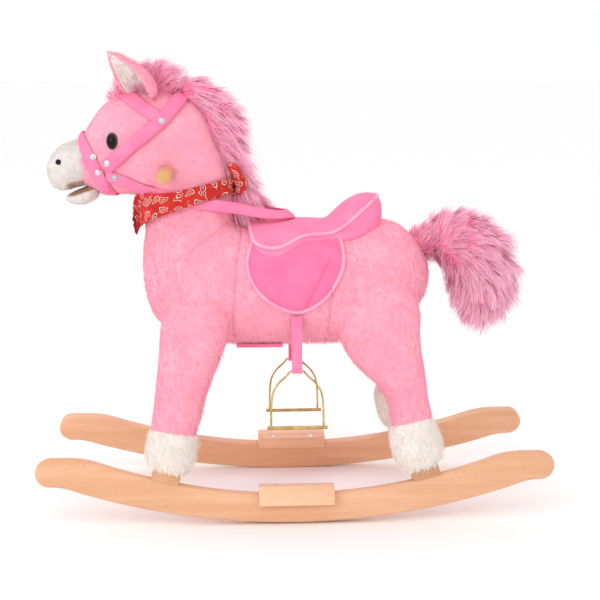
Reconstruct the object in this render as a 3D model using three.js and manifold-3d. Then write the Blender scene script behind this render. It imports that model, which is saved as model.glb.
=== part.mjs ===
// Plush rocking horse on two wooden rockers, with saddle, stirrups, bridle, reins and bandana.
// Millimetres, +Z up, nose towards -X, the horse's left side towards -Y.
// The origin is on the floor, midway between the rockers and midway along them.
import * as THREE from "three";
import { mergeVertices } from "three/addons/utils/BufferGeometryUtils.js";
import Module from "manifold-3d";

const wasm = await Module();
wasm.setup();

// ---- Driving dimensions ----
const LENGTH = 740; // over the rockers' ends
const TRACK = 260; // between the rockers where they meet the floor
const LEAN = THREE.MathUtils.degToRad(10); // rockers and legs lean in towards the body
const GAP = 0.4; // between pieces that touch
const SIDES = { left: -1, right: 1 };

const ROCKER = {
  thick: 20, rounding: 2, midTall: 40, footRadius: 1040, topRadius: 853, endRadius: 20, endHeight: 75.5,
};
const FOOTREST = { long: 107, tall: 27, overhang: 13, notch: 5, lip: 9, screwApart: 61 };
const SCREW = { head: 4, shank: 2, long: 34, countersink: 3 };
const POST = { wide: 40, thick: 20, foot: 45, long: 262 };
// Each leg: where its post meets the rocker, and how far it leans back towards the belly.
const LEGS = {
  front: { x: -190, rake: THREE.MathUtils.degToRad(11.3) },
  rear: { x: 191, rake: THREE.MathUtils.degToRad(-15.9) },
};
const BOLSTER = { long: 46, bottom: 268, top: 329 };
const SPINE = { from: -166, to: 150, wide: 90, bottom: 330, thick: 18 };
const NECK_POST = { wide: 44, thick: 20, foot: [-118, 352], head: [-190, 547], sunk: 20 };
const HANDLE = { radius: 11, long: 250, x: -178, z: 494 };
const SOUND_BOX = { size: [64, 58, 34], centre: [-50, 0, 258] };
const STRAP_WIDE = 18; // bridle and rein webbing
const STIRRUP = {
  x: 3, y: 89.6, hang: 297, strapWide: 15, strapThick: 2.5, loop: 4,
  wire: 1.6, legApart: 74, tall: 84, tread: 2.6, treadLong: 87,
};
const STRAP_DROP = { left: 85, right: 108 }; // the right strap is let out further
const TAIL_PIVOT = new THREE.Vector3(190, 0, 379);
const JAW_GAP = 4; // mouth opening between muzzle and jaw

// ---- Materials ----
function material(color, roughness, metalness = 0) {
  return new THREE.MeshStandardMaterial({ color, roughness, metalness });
}
const beech = material(0xdfae82, 0.55);
const innerWood = material(0xc9a67e, 0.75);
const pinkPlush = material(0xfba3b8, 0.95);
const whitePlush = material(0xefe6e0, 0.95);
const longFur = material(0xf48fb0, 0.95);
const pinkFelt = material(0xfb7fac, 0.85);
const redCotton = material(0xc9342c, 0.8);
const brassWire = material(0xb9a66a, 0.35, 0.9);
const nickel = material(0xc8c8cc, 0.3, 0.9);
const blackGloss = material(0x120c0c, 0.12);
const steel = material(0x8d8d90, 0.4, 0.9);
const whitePlastic = material(0xd8d8d6, 0.5);

// ---- Solids ----
// A closed geometry, placed by a matrix, as a solid that can be cut and joined.
function solidOf(geometry, matrix = new THREE.Matrix4()) {
  const bare = geometry.clone().deleteAttribute("normal").deleteAttribute("uv").applyMatrix4(matrix);
  const merged = mergeVertices(bare, 1e-3);
  const corners = merged.index.array;
  const triVerts = [];
  for (let i = 0; i < corners.length; i += 3) {
    const [a, b, c] = corners.slice(i, i + 3);
    if (a !== b && b !== c && c !== a) triVerts.push(a, b, c);
  }
  return new wasm.Manifold(new wasm.Mesh({
    numProp: 3,
    vertProperties: merged.attributes.position.array,
    triVerts: new Uint32Array(triVerts),
  }));
}

function geometryOf(solid) {
  const { vertProperties, triVerts } = solid.getMesh();
  const geometry = new THREE.BufferGeometry();
  geometry.setAttribute("position", new THREE.BufferAttribute(vertProperties, 3));
  geometry.setIndex(new THREE.BufferAttribute(triVerts, 1));
  geometry.computeVertexNormals();
  return geometry;
}

const biggest = (solid) => solid.decompose().sort((a, b) => b.volume() - a.volume())[0];

// The skin between two growths of one form.
const shell = (form, inner, outer) => form(outer).subtract(form(inner));

function piece(name, shape, look, parent) {
  const mesh = new THREE.Mesh(shape.isBufferGeometry ? shape : geometryOf(shape), look);
  mesh.name = name;
  parent.add(mesh);
  return mesh;
}

// A closed skin through oval rings. A ring has its centre, two half axes, and how square it is.
// The half axes are ordered so that across x up points from the first ring to the last.
function loft(rings, sides = 24) {
  const tube = new THREE.CylinderGeometry(1, 1, 1, sides, rings.length - 1);
  const place = tube.attributes.position;
  const squared = (v, power) => (Math.abs(v) < 1e-9 ? 0 : Math.sign(v) * Math.abs(v) ** (2 / power));
  for (let i = 0; i < place.count; i++) {
    const ring = rings[Math.round((0.5 - place.getY(i)) * (rings.length - 1))];
    const power = ring.power ?? 2.3;
    const point = ring.centre.clone()
      .addScaledVector(ring.across, squared(place.getX(i), power))
      .addScaledVector(ring.up, squared(place.getZ(i), power));
    place.setXYZ(i, point.x, point.y, point.z);
  }
  return tube;
}

const vec = (x, y, z) => new THREE.Vector3(x, y, z);

// Rings that stand across X, each from [x, bottom, top, half width].
function ringsAcrossX(stations, grow) {
  const forward = Math.sign(stations[1][0] - stations[0][0]);
  return stations.map(([x, bottom, top, half], i) => {
    const end = i === 0 ? -forward : i === stations.length - 1 ? forward : 0;
    const side = vec(0, half + grow, 0);
    const rise = vec(0, 0, (top - bottom) / 2 + grow);
    const centre = vec(x + end * grow, 0, (top + bottom) / 2);
    return forward > 0 ? { centre, across: side, up: rise } : { centre, across: rise, up: side };
  });
}

// Rings that lie flat, going up, each from [z, x from, x to, half width].
function ringsGoingUp(stations, grow) {
  return stations.map(([z, from, to, half], i) => {
    const end = i === 0 ? -1 : i === stations.length - 1 ? 1 : 0;
    return {
      centre: vec((from + to) / 2, 0, z + end * grow),
      across: vec((to - from) / 2 + grow, 0, 0),
      up: vec(0, half + grow, 0),
    };
  });
}

// A slab through the whole width with this side outline, each point [x, z].
function sideSlab(outline, fromY = -200, toY = 200) {
  const shape = new THREE.Shape(outline.map(([x, z]) => new THREE.Vector2(x, z)));
  const slab = new THREE.ExtrudeGeometry(shape, { depth: toY - fromY, bevelEnabled: false });
  return solidOf(slab.rotateX(Math.PI / 2).translate(0, toY, 0));
}

// A strip of webbing seen from the side, along a line of [x, z] points.
function strip(line, wide, fromY = -200, toY = 200) {
  const points = line.map(([x, z]) => new THREE.Vector2(x, z));
  const edge = (side) => points.map((point, i) => {
    const before = points[Math.max(i - 1, 0)];
    const after = points[Math.min(i + 1, points.length - 1)];
    const along = after.clone().sub(before).normalize();
    return [point.x - along.y * side * wide / 2, point.y + along.x * side * wide / 2];
  });
  return sideSlab([...edge(1), ...edge(-1).reverse()], fromY, toY);
}

const horse = new THREE.Group();

// ---- Side frames: each rocker's own plane, leaning in; local X along, Y across, Z up the board ----
const sideFrames = {};
for (const [side, sign] of Object.entries(SIDES)) {
  const frame = new THREE.Group();
  frame.position.set(0, (sign * TRACK) / 2, (ROCKER.thick / 2 - ROCKER.rounding) * Math.sin(LEAN));
  frame.rotation.x = sign * LEAN;
  horse.add(frame);
  sideFrames[side] = frame;
}
horse.updateMatrixWorld(true);

// ---- Rockers ----
function rockerOutline() {
  const { midTall, footRadius, topRadius, endRadius, endHeight } = ROCKER;
  const endX = LENGTH / 2 - endRadius;
  const joinFoot = Math.asin(300 / footRadius);
  const joinTop = Math.asin(285 / topRadius);
  const footJoin = footRadius * (1 - Math.cos(joinFoot));
  const topJoin = midTall + topRadius * (1 - Math.cos(joinTop));
  const shape = new THREE.Shape();
  shape.absarc(0, footRadius, footRadius, -Math.PI / 2 - joinFoot, -Math.PI / 2 + joinFoot, false);
  shape.bezierCurveTo(318, footJoin + 5.6, endX - 22, endHeight - endRadius, endX, endHeight - endRadius);
  shape.absarc(endX, endHeight, endRadius, -Math.PI / 2, Math.PI / 2, false);
  shape.bezierCurveTo(endX - 24, endHeight + endRadius, 305, topJoin + 7, 285, topJoin);
  shape.absarc(0, midTall + topRadius, topRadius, -Math.PI / 2 + joinTop, -Math.PI / 2 - joinTop, true);
  shape.bezierCurveTo(-305, topJoin + 7, 24 - endX, endHeight + endRadius, -endX, endHeight + endRadius);
  shape.absarc(-endX, endHeight, endRadius, Math.PI / 2, (3 * Math.PI) / 2, false);
  shape.bezierCurveTo(22 - endX, endHeight - endRadius, -318, footJoin + 5.6, -300, footJoin);
  return shape;
}

function rockerBoard() {
  const { thick, rounding } = ROCKER;
  const board = new THREE.ExtrudeGeometry(rockerOutline(), {
    depth: thick - 2 * rounding, bevelThickness: rounding, bevelSize: rounding,
    bevelOffset: -rounding, bevelSegments: 1, curveSegments: 10,
  });
  return board.rotateX(Math.PI / 2).translate(0, thick / 2 - rounding, 0);
}

const box = (size, centre) => new THREE.BoxGeometry(...size).translate(...centre);

// The block's full height hangs over the rocker's outer face; its inner part sits in a notch.
function footrestBlock(sign) {
  const top = ROCKER.midTall - FOOTREST.notch + FOOTREST.tall - FOOTREST.lip;
  const depth = ROCKER.thick + FOOTREST.overhang;
  const middle = (sign * FOOTREST.overhang) / 2;
  const seat = ROCKER.midTall - FOOTREST.notch;
  const block = solidOf(box([FOOTREST.long, depth, FOOTREST.tall], [0, middle, top - FOOTREST.tall / 2]));
  const rebate = box([FOOTREST.long + 2, ROCKER.thick + 2 + GAP, 40], [0, -sign, seat - 20 + GAP]);
  return { block: block.subtract(solidOf(rebate)), top, seat };
}

function screwShape(grow = 0) {
  const { head, shank, long, countersink } = SCREW;
  const profile = [
    [0, -long - grow], [shank + grow, -long - grow], [shank + grow, -countersink - grow],
    [head + grow, 0], [head + grow, 0.3 + grow * 20], [0, 0.3 + grow * 20],
  ].map(([r, z]) => new THREE.Vector2(r, z));
  return new THREE.LatheGeometry(profile, 10).rotateX(Math.PI / 2);
}

const postMatrices = {};
for (const [side, sign] of Object.entries(SIDES)) {
  const frame = sideFrames[side];
  const { block, top, seat } = footrestBlock(sign);
  let rocker = solidOf(rockerBoard());
  const notch = box([FOOTREST.long + 2 * GAP, ROCKER.thick + 2, 40], [0, 0, seat + 20 - GAP / 4]);
  rocker = rocker.subtract(solidOf(notch));
  let rest = block;
  for (const [index, end] of [-1, 1].entries()) {
    const spot = new THREE.Matrix4().makeTranslation((end * FOOTREST.screwApart) / 2, 0, top - 0.3);
    rest = rest.subtract(solidOf(screwShape(0.25), spot));
    rocker = rocker.subtract(solidOf(screwShape(0.25), spot));
    piece(`footrest_screw_${side}_${index + 1}`, screwShape(), steel, frame).applyMatrix4(spot);
  }
  piece(`footrest_${side}`, rest, beech, frame);

  // Wooden posts inside the legs stand in the rocker's top edge.
  for (const [end, leg] of Object.entries(LEGS)) {
    const stand = new THREE.Group();
    stand.position.set(leg.x, 0, POST.foot);
    stand.rotation.y = leg.rake;
    frame.add(stand);
    stand.updateMatrixWorld(true);
    postMatrices[`${end}_${side}`] = stand.matrixWorld.clone();
    const post = solidOf(box([POST.wide, POST.thick, POST.long], [0, 0, POST.long / 2]));
    const local = stand.matrix.clone().invert();
    const footCut = solidOf(rockerBoard().translate(0, 0, GAP), local).add(
      solidOf(box([400, 60, 60], [leg.x, 0, 36 - 30]), local),
    );
    piece(`leg_post_${end}_${side}`, post.subtract(footCut), beech, stand);
  }
  piece(`rocker_${side}`, rocker, beech, frame);
}

// The posts as cutters in the horse's frame.
function postCutter(key, grow) {
  const size = [POST.wide + 2 * grow, POST.thick + 2 * grow, POST.long + 2 * grow];
  return solidOf(box(size, [0, 0, POST.long / 2]), postMatrices[key]);
}

// ---- Inner frame ----
// The block between two legs' posts, grown all round; its slanting ends meet the posts' inner faces.
function bolster(end, grow) {
  const { rake, x: foot } = LEGS[end];
  const { long, bottom, top } = BOLSTER;
  const middle = (bottom + top) / 2;
  const x = foot + Math.tan(rake) * (middle - POST.foot) * Math.cos(LEAN);
  const beam = solidOf(box([long + 2 * grow, 200, top - bottom + 2 * grow], [x, 0, middle]));
  return Object.entries(SIDES).reduce((rest, [side, sign]) => {
    const outside = box([500, 100, 600], [0, sign * (50 - POST.thick / 2 - GAP + grow), 200]);
    return rest.subtract(solidOf(outside, sideFrames[side].matrixWorld));
  }, beam);
}
for (const end of Object.keys(LEGS)) piece(`bolster_${end}`, bolster(end, 0), innerWood, horse);

const spineBox = (grow) => box(
  [SPINE.to - SPINE.from + 2 * grow, SPINE.wide + 2 * grow, SPINE.thick + 2 * grow],
  [(SPINE.from + SPINE.to) / 2, 0, SPINE.bottom + SPINE.thick / 2],
);
piece("spine_board", spineBox(0), innerWood, horse);

function neckPostBar(grow) {
  const { wide, thick, foot, head, sunk } = NECK_POST;
  const rise = vec(head[0] - foot[0], 0, head[1] - foot[1]);
  const stand = new THREE.Matrix4().makeRotationY(Math.atan2(rise.x, rise.z));
  stand.setPosition(foot[0], 0, foot[1]);
  const long = rise.length() + sunk;
  const bar = box([wide + 2 * grow, thick + 2 * grow, long + 2 * grow], [0, 0, long / 2 - sunk]);
  return solidOf(bar, stand);
}
// The handle is a dowel with rounded ends that runs right through the neck.
function handleDowel(grow = 0) {
  const half = HANDLE.long / 2 + grow;
  const r = HANDLE.radius + grow;
  const arc = [0, 30, 60, 90].map((deg) => THREE.MathUtils.degToRad(deg));
  const end = arc.map((a) => new THREE.Vector2(r - 5 + 5 * Math.sin(a), half - 5 + 5 * Math.cos(a)));
  const profile = [new THREE.Vector2(0, half), ...end];
  const mirrored = profile.map((p) => new THREE.Vector2(p.x, -p.y));
  return new THREE.LatheGeometry([...mirrored, ...profile.reverse()], 16).translate(HANDLE.x, 0, HANDLE.z);
}
const spineRoom = solidOf(box([600, 300, 200], [0, 0, SPINE.bottom + SPINE.thick + GAP - 100]));
piece("neck_post", neckPostBar(0).subtract(spineRoom).subtract(solidOf(handleDowel(0.25))), innerWood, horse);
piece("handle_dowel", handleDowel(), beech, horse);

// ---- Plush body: torso, lower neck and legs ----
// Torso stations: x, bottom, top, half width.
const TORSO = [
  [-219, 340, 372, 20], [-214, 306, 404, 44], [-203, 277, 428, 62], [-185, 255, 440, 75],
  [-155, 242, 440, 84], [-115, 237, 428, 89], [-70, 236, 415, 90], [-20, 236, 409, 90],
  [40, 236, 407, 90], [90, 238, 412, 90], [130, 246, 420, 88], [158, 260, 413, 80],
  [180, 281, 394, 66], [196, 302, 372, 46], [204, 326, 350, 22],
];
// Neck stations: z, front x, back x, half width.
const NECK = [
  [385, -210, -84, 58], [415, -219, -84, 57], [450, -221, -82, 55], [480, -221, -86, 53],
  [510, -214, -98, 51], [540, -202, -110, 48], [575, -188, -124, 38], [596, -176, -140, 22],
];
// Leg stations along the post: height, forward reach, backward reach, half thickness.
const LEG_PLUSH = {
  front: [
    [83, -33, 35, 32], [103, -34, 37, 33], [133, -36, 39, 34], [155, -38, 41, 36], [180, -39, 45, 38],
    [205, -42, 50, 40], [235, -48, 54, 40], [262, -48, 52, 34], [285, -36, 40, 24],
  ],
  rear: [
    [95, -34, 33, 32], [118, -31, 35, 33], [149, -31, 39, 34], [168, -42, 41, 36], [192, -58, 42, 38],
    [218, -65, 47, 40], [240, -66, 56, 40], [265, -58, 58, 34], [288, -44, 44, 24],
  ],
};
const HOOF = {
  front: [[33, -24, 26, 25], [38, -33, 33, 31], [50, -36, 35, 33], [66, -36, 35, 33], [82.5, -34, 36, 32.5]],
  rear: [[33, -24, 20, 24], [38, -33, 29, 30], [52, -36, 35, 33], [72, -36, 36, 33], [94.5, -35, 34, 32.5]],
};

function legLoft(stations, matrix, grow) {
  const rings = stations.map(([w, from, to, half], i) => ({
    centre: vec((from + to) / 2, 0, w + (i === 0 ? -grow : i === stations.length - 1 ? grow : 0)),
    across: vec((to - from) / 2 + grow, 0, 0),
    up: vec(0, half + grow, 0),
  }));
  return solidOf(loft(rings, 16), matrix);
}

const neckLoft = (grow) => solidOf(loft(ringsGoingUp(NECK, grow), 20));
const torsoLoft = (grow) => solidOf(loft(ringsAcrossX(TORSO, grow), 24));

// ---- Head: face stations from the nape to the nose ----
const FACE = [
  [-118, 530, 570, 20], [-135, 495, 590, 40], [-160, 470, 604, 52], [-195, 458, 612, 58],
  [-230, 458, 609, 58], [-256, 459, 598, 54], [-276, 459, 582, 48], [-290, 458, 560, 43],
  [-303, 457, 541, 40], [-318, 455, 537, 39], [-332, 456, 530, 37], [-343, 461, 522, 33],
  [-350, 470, 513, 25], [-354, 484, 503, 12],
];
const faceLoft = (grow) => solidOf(loft(ringsAcrossX(FACE, grow), 20));
const headForm = (grow) => faceLoft(grow).add(neckLoft(grow));

// The head is sewn to the body along a slanting seam, hidden under the bandana.
const SEAM = { front: [-260, 420], back: [-40, 488] };
const aboveSeam = sideSlab([SEAM.front, SEAM.back, [-40, 700], [-400, 700], [-400, 420]]);
const belowSeam = sideSlab([
  [SEAM.front[0], SEAM.front[1] - GAP], [-400, 420 - GAP], [-400, 0], [400, 0], [400, 488 - GAP],
  [SEAM.back[0], SEAM.back[1] - GAP],
]);
// The white muzzle starts at the nose plane, under the noseband; the mouth plane closes it below.
const NOSE_LINE = { top: [-301, 560], bottom: [-266, 440] };
const MOUTH_LINE = { front: [-345, 458], back: [-272, 479] };
const noseSide = sideSlab([
  [NOSE_LINE.top[0] - GAP, NOSE_LINE.top[1]], [-420, NOSE_LINE.top[1]],
  [-420, NOSE_LINE.bottom[1]], [NOSE_LINE.bottom[0] - GAP, NOSE_LINE.bottom[1]],
]);
const overMouth = sideSlab([
  MOUTH_LINE.back, MOUTH_LINE.front, [MOUTH_LINE.front[0] - 20, 452], [-420, 600], [-250, 600],
]);
const headSide = sideSlab([
  NOSE_LINE.top, [NOSE_LINE.top[0], 700], [400, 700], [400, 300], [NOSE_LINE.bottom[0], 300],
  NOSE_LINE.bottom,
]);

const eyeShape = (sign, grow = 0) => new THREE.SphereGeometry(1, 14, 10)
  .scale(8 + grow, 6 + grow, 11 + grow).rotateZ(sign * 0.35).translate(-254, sign * 51, 539);

let frameRoom = solidOf(spineBox(GAP)).add(neckPostBar(GAP));
for (const key of Object.keys(postMatrices)) frameRoom = frameRoom.add(postCutter(key, GAP));
for (const end of Object.keys(LEGS)) frameRoom = frameRoom.add(bolster(end, GAP));
const tailSocket = solidOf(new THREE.SphereGeometry(24.6, 20, 14).translate(...TAIL_PIVOT.toArray()));
const soundRoom = solidOf(box(
  [SOUND_BOX.size[0] + 2 * GAP, SOUND_BOX.size[1] + 2 * GAP, 100 + SOUND_BOX.size[2]],
  [SOUND_BOX.centre[0], 0, SOUND_BOX.centre[2] - 50 + GAP],
));

const lowerNeck = neckLoft(0).intersect(belowSeam);
piece("body_plush", torsoLoft(0).add(lowerNeck).subtract(aboveSeam).subtract(frameRoom)
  .subtract(soundRoom).subtract(tailSocket), pinkPlush, horse);
for (const [key, matrix] of Object.entries(postMatrices)) {
  const leg = legLoft(LEG_PLUSH[key.split("_")[0]], matrix, 0).subtract(torsoLoft(GAP)).subtract(frameRoom);
  piece(`leg_plush_${key}`, biggest(leg), pinkPlush, horse);
}

let head = headForm(0).intersect(headSide).intersect(aboveSeam).subtract(frameRoom)
  .subtract(solidOf(handleDowel(GAP)));
for (const sign of Object.values(SIDES)) head = head.subtract(solidOf(eyeShape(sign, GAP)));
piece("head_plush", head, pinkPlush, horse);
for (const [side, sign] of Object.entries(SIDES)) piece(`eye_${side}`, eyeShape(sign), blackGloss, horse);
piece("muzzle_plush", faceLoft(0).intersect(noseSide).intersect(overMouth), whitePlush, horse);

// Lower jaw, hinged just in front of the noseband.
const JAW = [
  [-285, 455, 474, 21], [-294, 448, 476, 26], [-306, 445, 474, 27], [-317, 448, 470, 24],
  [-325, 455, 464, 13],
];
const underMouth = sideSlab([
  [MOUTH_LINE.front[0], MOUTH_LINE.front[1] - JAW_GAP], [MOUTH_LINE.front[0], 400],
  [MOUTH_LINE.back[0], 400], [MOUTH_LINE.back[0], MOUTH_LINE.back[1] - JAW_GAP],
]);
piece("jaw_plush", solidOf(loft(ringsAcrossX(JAW, 0), 20)).intersect(underMouth), whitePlush, horse);

for (const [key, matrix] of Object.entries(postMatrices)) {
  const hoof = legLoft(HOOF[key.split("_")[0]], matrix, 0).subtract(postCutter(key, GAP));
  piece(`hoof_${key}`, hoof, whitePlush, horse);
}

piece("sound_box", box(SOUND_BOX.size, SOUND_BOX.centre), whitePlastic, horse);
const flapOutline = sideSlab([[-84, 200], [-16, 200], [-16, 262], [-84, 262]], -38, 38);
piece("belly_flap", shell(torsoLoft, 0.6, 5).intersect(flapOutline), pinkFelt, horse);

// ---- Ears: stuffed leaves that lean forwards and outwards ----
function earShape(sign) {
  const base = vec(-214, sign * 33, 596);
  const tip = vec(-256, sign * 50, 661);
  const rise = tip.clone().sub(base).normalize();
  const wide = vec(0.62, sign * -0.5, 0.6).projectOnPlane(rise).normalize();
  const deep = rise.clone().cross(wide);
  const stations = [[-0.04, 22, 13], [0.2, 25, 12], [0.45, 24, 10], [0.7, 17, 8], [0.88, 9, 6], [1, 3, 3]];
  return loft(stations.map(([t, half, thick]) => ({
    centre: base.clone().lerp(tip, t),
    across: wide.clone().multiplyScalar(half),
    up: deep.clone().multiplyScalar(thick),
    power: 2,
  })), 14);
}
for (const [side, sign] of Object.entries(SIDES)) {
  piece(`ear_${side}`, biggest(solidOf(earShape(sign)).subtract(headForm(GAP))), pinkPlush, horse);
}

// ---- Bridle: webbing that lies on the head, in two layers ----
const onSide = (sign) => (sign < 0 ? [-200, -8] : [8, 200]);
const LAYER = { inner: 0.5, thick: 2, next: 2.4 };
const webbing = shell(headForm, LAYER.inner, LAYER.inner + LAYER.thick);
const overWebbing = shell(headForm, LAYER.inner + LAYER.next, LAYER.inner + LAYER.next + LAYER.thick);
const earRoom = Object.values(SIDES).map((sign) => solidOf(earShape(sign)));
const clearOfEars = (solid) => earRoom.reduce((rest, ear) => rest.subtract(ear), solid);

const CHEEK = { lower: [-260, 505], upper: [-183, 567] };
const CROWN = [CHEEK.upper, [-140, 618]];
const noseStrip = strip([[NOSE_LINE.top[0] - 8.5, 600], [NOSE_LINE.bottom[0] + 9, 420]], STRAP_WIDE);
piece("noseband", webbing.intersect(noseStrip), pinkFelt, horse);
piece("crownpiece", biggest(overWebbing.intersect(strip(CROWN, STRAP_WIDE))), pinkFelt, horse);
const brow = strip([[CHEEK.upper[0] + 8, CHEEK.upper[1] - 6], [-262, 620]], STRAP_WIDE);
piece("browband", biggest(clearOfEars(webbing.intersect(brow))), pinkFelt, horse);

const REIN = {
  cheek: [[-262, 489], [-235, 480], [-205, 467], [-150, 452], [-98, 443]],
  thick: 2, tall: 17,
};
const BANDANA = {
  inner: 3, outer: 6,
  outline: [
    [-240, 465], [-211, 462], [-150, 470], [-103, 480], [-84, 507], [-66, 507], [-66, 463],
    [-88, 461], [-147, 445], [-184, 434], [-210, 420], [-216, 404], [-240, 398],
  ],
};
const wholeForm = (grow) => headForm(grow).add(torsoLoft(grow));
for (const [side, sign] of Object.entries(SIDES)) {
  const cheek = strip([CHEEK.lower, CHEEK.upper], STRAP_WIDE, ...onSide(sign));
  const crownRoom = strip([[CROWN[0][0] - 5, CROWN[0][1] - 6], CROWN[1]], STRAP_WIDE + 2 * GAP);
  piece(`cheek_strap_${side}`, biggest(overWebbing.intersect(cheek).subtract(crownRoom)), pinkFelt, horse);
  const rein = strip(REIN.cheek, STRAP_WIDE, ...onSide(sign));
  const outside = webbing.subtract(torsoLoft(LAYER.inner)).subtract(strip([[-270, 700], [-270, 300]], 20));
  piece(`rein_${side}`, biggest(outside.intersect(rein)), pinkFelt, horse);
}

// ---- Rivets ----
const rivetBed = new THREE.Mesh(geometryOf(headForm(LAYER.inner + LAYER.next + LAYER.thick)));
const RIVETS = [[-281, 517], [-252, 487], [-183, 567]];
function rivet(x, z, sign) {
  const ray = new THREE.Raycaster(vec(x, sign * 300, z), vec(0, -sign, 0));
  const hit = ray.intersectObject(rivetBed)[0];
  const profile = [[0, 0], [4.2, 0], [4.2, 0.8], [3, 1.7], [0, 2.1]].map(([r, h]) => new THREE.Vector2(r, h));
  const cap = new THREE.LatheGeometry(profile, 10);
  const turn = new THREE.Quaternion().setFromUnitVectors(vec(0, 1, 0), hit.face.normal);
  return cap.applyQuaternion(turn).translate(...hit.point.addScaledVector(hit.face.normal, 0.5).toArray());
}
for (const [side, sign] of Object.entries(SIDES)) {
  RIVETS.forEach(([x, z], i) => piece(`rivet_${side}_${i + 1}`, rivet(x, z, sign), nickel, horse));
}

// ---- Rein loop: a band on edge that lies over the withers ----
const REIN_PLAN = [[-90, 45], [-66, 38], [-35, 26], [-12, 15], [0, 5]];
const REIN_HEIGHT = [443, 438, 431, 431, 431];
function reinLoop() {
  const side = (sign) => REIN_PLAN.map(([x, y], i) => vec(x, sign * y, REIN_HEIGHT[i]));
  const path = new THREE.CatmullRomCurve3([...side(-1), ...side(1).reverse()]);
  const steps = 30;
  const samples = path.getPoints(steps);
  const rings = samples.map((centre, i) => {
    const ahead = samples[Math.min(i + 1, steps)].clone().sub(samples[Math.max(i - 1, 0)]).setZ(0);
    ahead.normalize();
    const across = vec(ahead.y, -ahead.x, 0).multiplyScalar(REIN.thick * 0.6);
    return { centre, across, up: vec(0, 0, -REIN.tall / 2), power: 12 };
  });
  return solidOf(loft(rings, 8));
}
piece("rein_loop", reinLoop(), pinkFelt, horse);

// ---- Bandana, folded round the neck, with its rolled knot on the nape ----
const knotLobe = (grow) => solidOf(new THREE.SphereGeometry(1, 14, 10)
  .scale(9 + grow, 10 + grow, 22 + grow).translate(-84, -24, 487));
function bandBlock(outer) {
  const band = wholeForm(outer).intersect(sideSlab(BANDANA.outline));
  return band.add(knotLobe(outer - BANDANA.outer));
}
piece("bandana", bandBlock(BANDANA.outer).subtract(wholeForm(BANDANA.inner)), redCotton, horse);

// ---- Saddle: padded seat with a raised cantle, and a flap down each side ----
const SEAT_THICK = 8;
const FLAP_THICK = 4.5;
// The seat's left half seen from above, front to back: [x, half width].
const SEAT_EDGE = [
  [-64, 0], [-64, 62], [-56, 72], [-30, 76], [-8, 70], [14, 58], [40, 55], [66, 58], [92, 62], [112, 56],
  [124, 40], [130, 20], [131, 0],
];
const CANTLE = [
  [48, 380, 416, 40], [62, 380, 432, 50], [76, 380, 446, 54], [94, 380, 456, 56], [112, 380, 460, 52],
  [124, 384, 457, 42], [131, 390, 446, 26],
];
function seatSlab(grow) {
  const shape = new THREE.Shape([
    ...SEAT_EDGE.map(([x, y]) => new THREE.Vector2(x + Math.sign(x) * grow, -y - grow)),
    ...SEAT_EDGE.slice(1, -1).reverse().map(([x, y]) => new THREE.Vector2(x + Math.sign(x) * grow, y + grow)),
  ]);
  return solidOf(new THREE.ExtrudeGeometry(shape, { depth: 160, bevelEnabled: false }).translate(0, 0, 345));
}
const cantle = solidOf(loft(ringsAcrossX(CANTLE, 0), 20));
const seat = torsoLoft(SEAT_THICK).intersect(seatSlab(0)).add(cantle)
  .subtract(torsoLoft(0.5)).subtract(neckLoft(0.5));
piece("saddle_seat", biggest(seat), pinkFelt, horse);

const FLAP = [
  [-58, 440], [-61, 400], [-66, 377], [-66, 360], [-58, 338], [-41, 318], [-16, 303], [3, 297], [18, 301],
  [41, 315], [57, 335], [68, 356], [71, 375], [67, 398], [60, 440],
];
for (const [side, sign] of Object.entries(SIDES)) {
  const flap = shell(torsoLoft, 0.5, 0.5 + FLAP_THICK).intersect(sideSlab(FLAP, ...onSide(sign)));
  piece(`saddle_flap_${side}`, biggest(flap.subtract(seatSlab(GAP))), pinkFelt, horse);
}

// ---- Mane and forelock ----
function furSlab(outline, halfWide) {
  const round = halfWide * 0.45;
  const shape = new THREE.Shape(outline.map(([x, z]) => new THREE.Vector2(x, z)));
  const slab = new THREE.ExtrudeGeometry(shape, {
    depth: 2 * (halfWide - round), bevelThickness: round, bevelSize: round, bevelOffset: -round,
    bevelSegments: 2,
  });
  return solidOf(slab.rotateX(Math.PI / 2).translate(0, halfWide - round, 0));
}
const crownBlock = headForm(LAYER.inner + LAYER.next + LAYER.thick + GAP)
  .intersect(strip([[-200, 546], [-134, 625]], STRAP_WIDE + 2 * GAP));
const reinRoom = solidOf(box([150, 200, 40], [-17, 0, 430])).subtract(
  solidOf(box([150, 40, 60], [-17, 0, 430])),
);
const clearOfTack = (fur) => clearOfEars(fur).subtract(wholeForm(GAP)).subtract(crownBlock)
  .subtract(bandBlock(BANDANA.outer + GAP)).subtract(reinRoom)
  .subtract(torsoLoft(SEAT_THICK + GAP).intersect(seatSlab(GAP)));
const MANE = [
  [-150, 590], [-158, 628], [-138, 634], [-104, 616], [-84, 590], [-71, 562], [-66, 526], [-58, 500],
  [-52, 470], [-34, 436], [-40, 424], [-90, 420], [-110, 500], [-125, 560],
];
piece("mane", biggest(clearOfTack(furSlab(MANE, 20))), longFur, horse);
const FORELOCK = [
  [-256, 590], [-258, 616], [-236, 636], [-200, 644], [-172, 634], [-160, 616], [-170, 590],
];
const clearOfWebbing = headForm(LAYER.inner + LAYER.thick + GAP);
piece("forelock", biggest(clearOfTack(furSlab(FORELOCK, 16)).subtract(clearOfWebbing)), longFur, horse);

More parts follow.
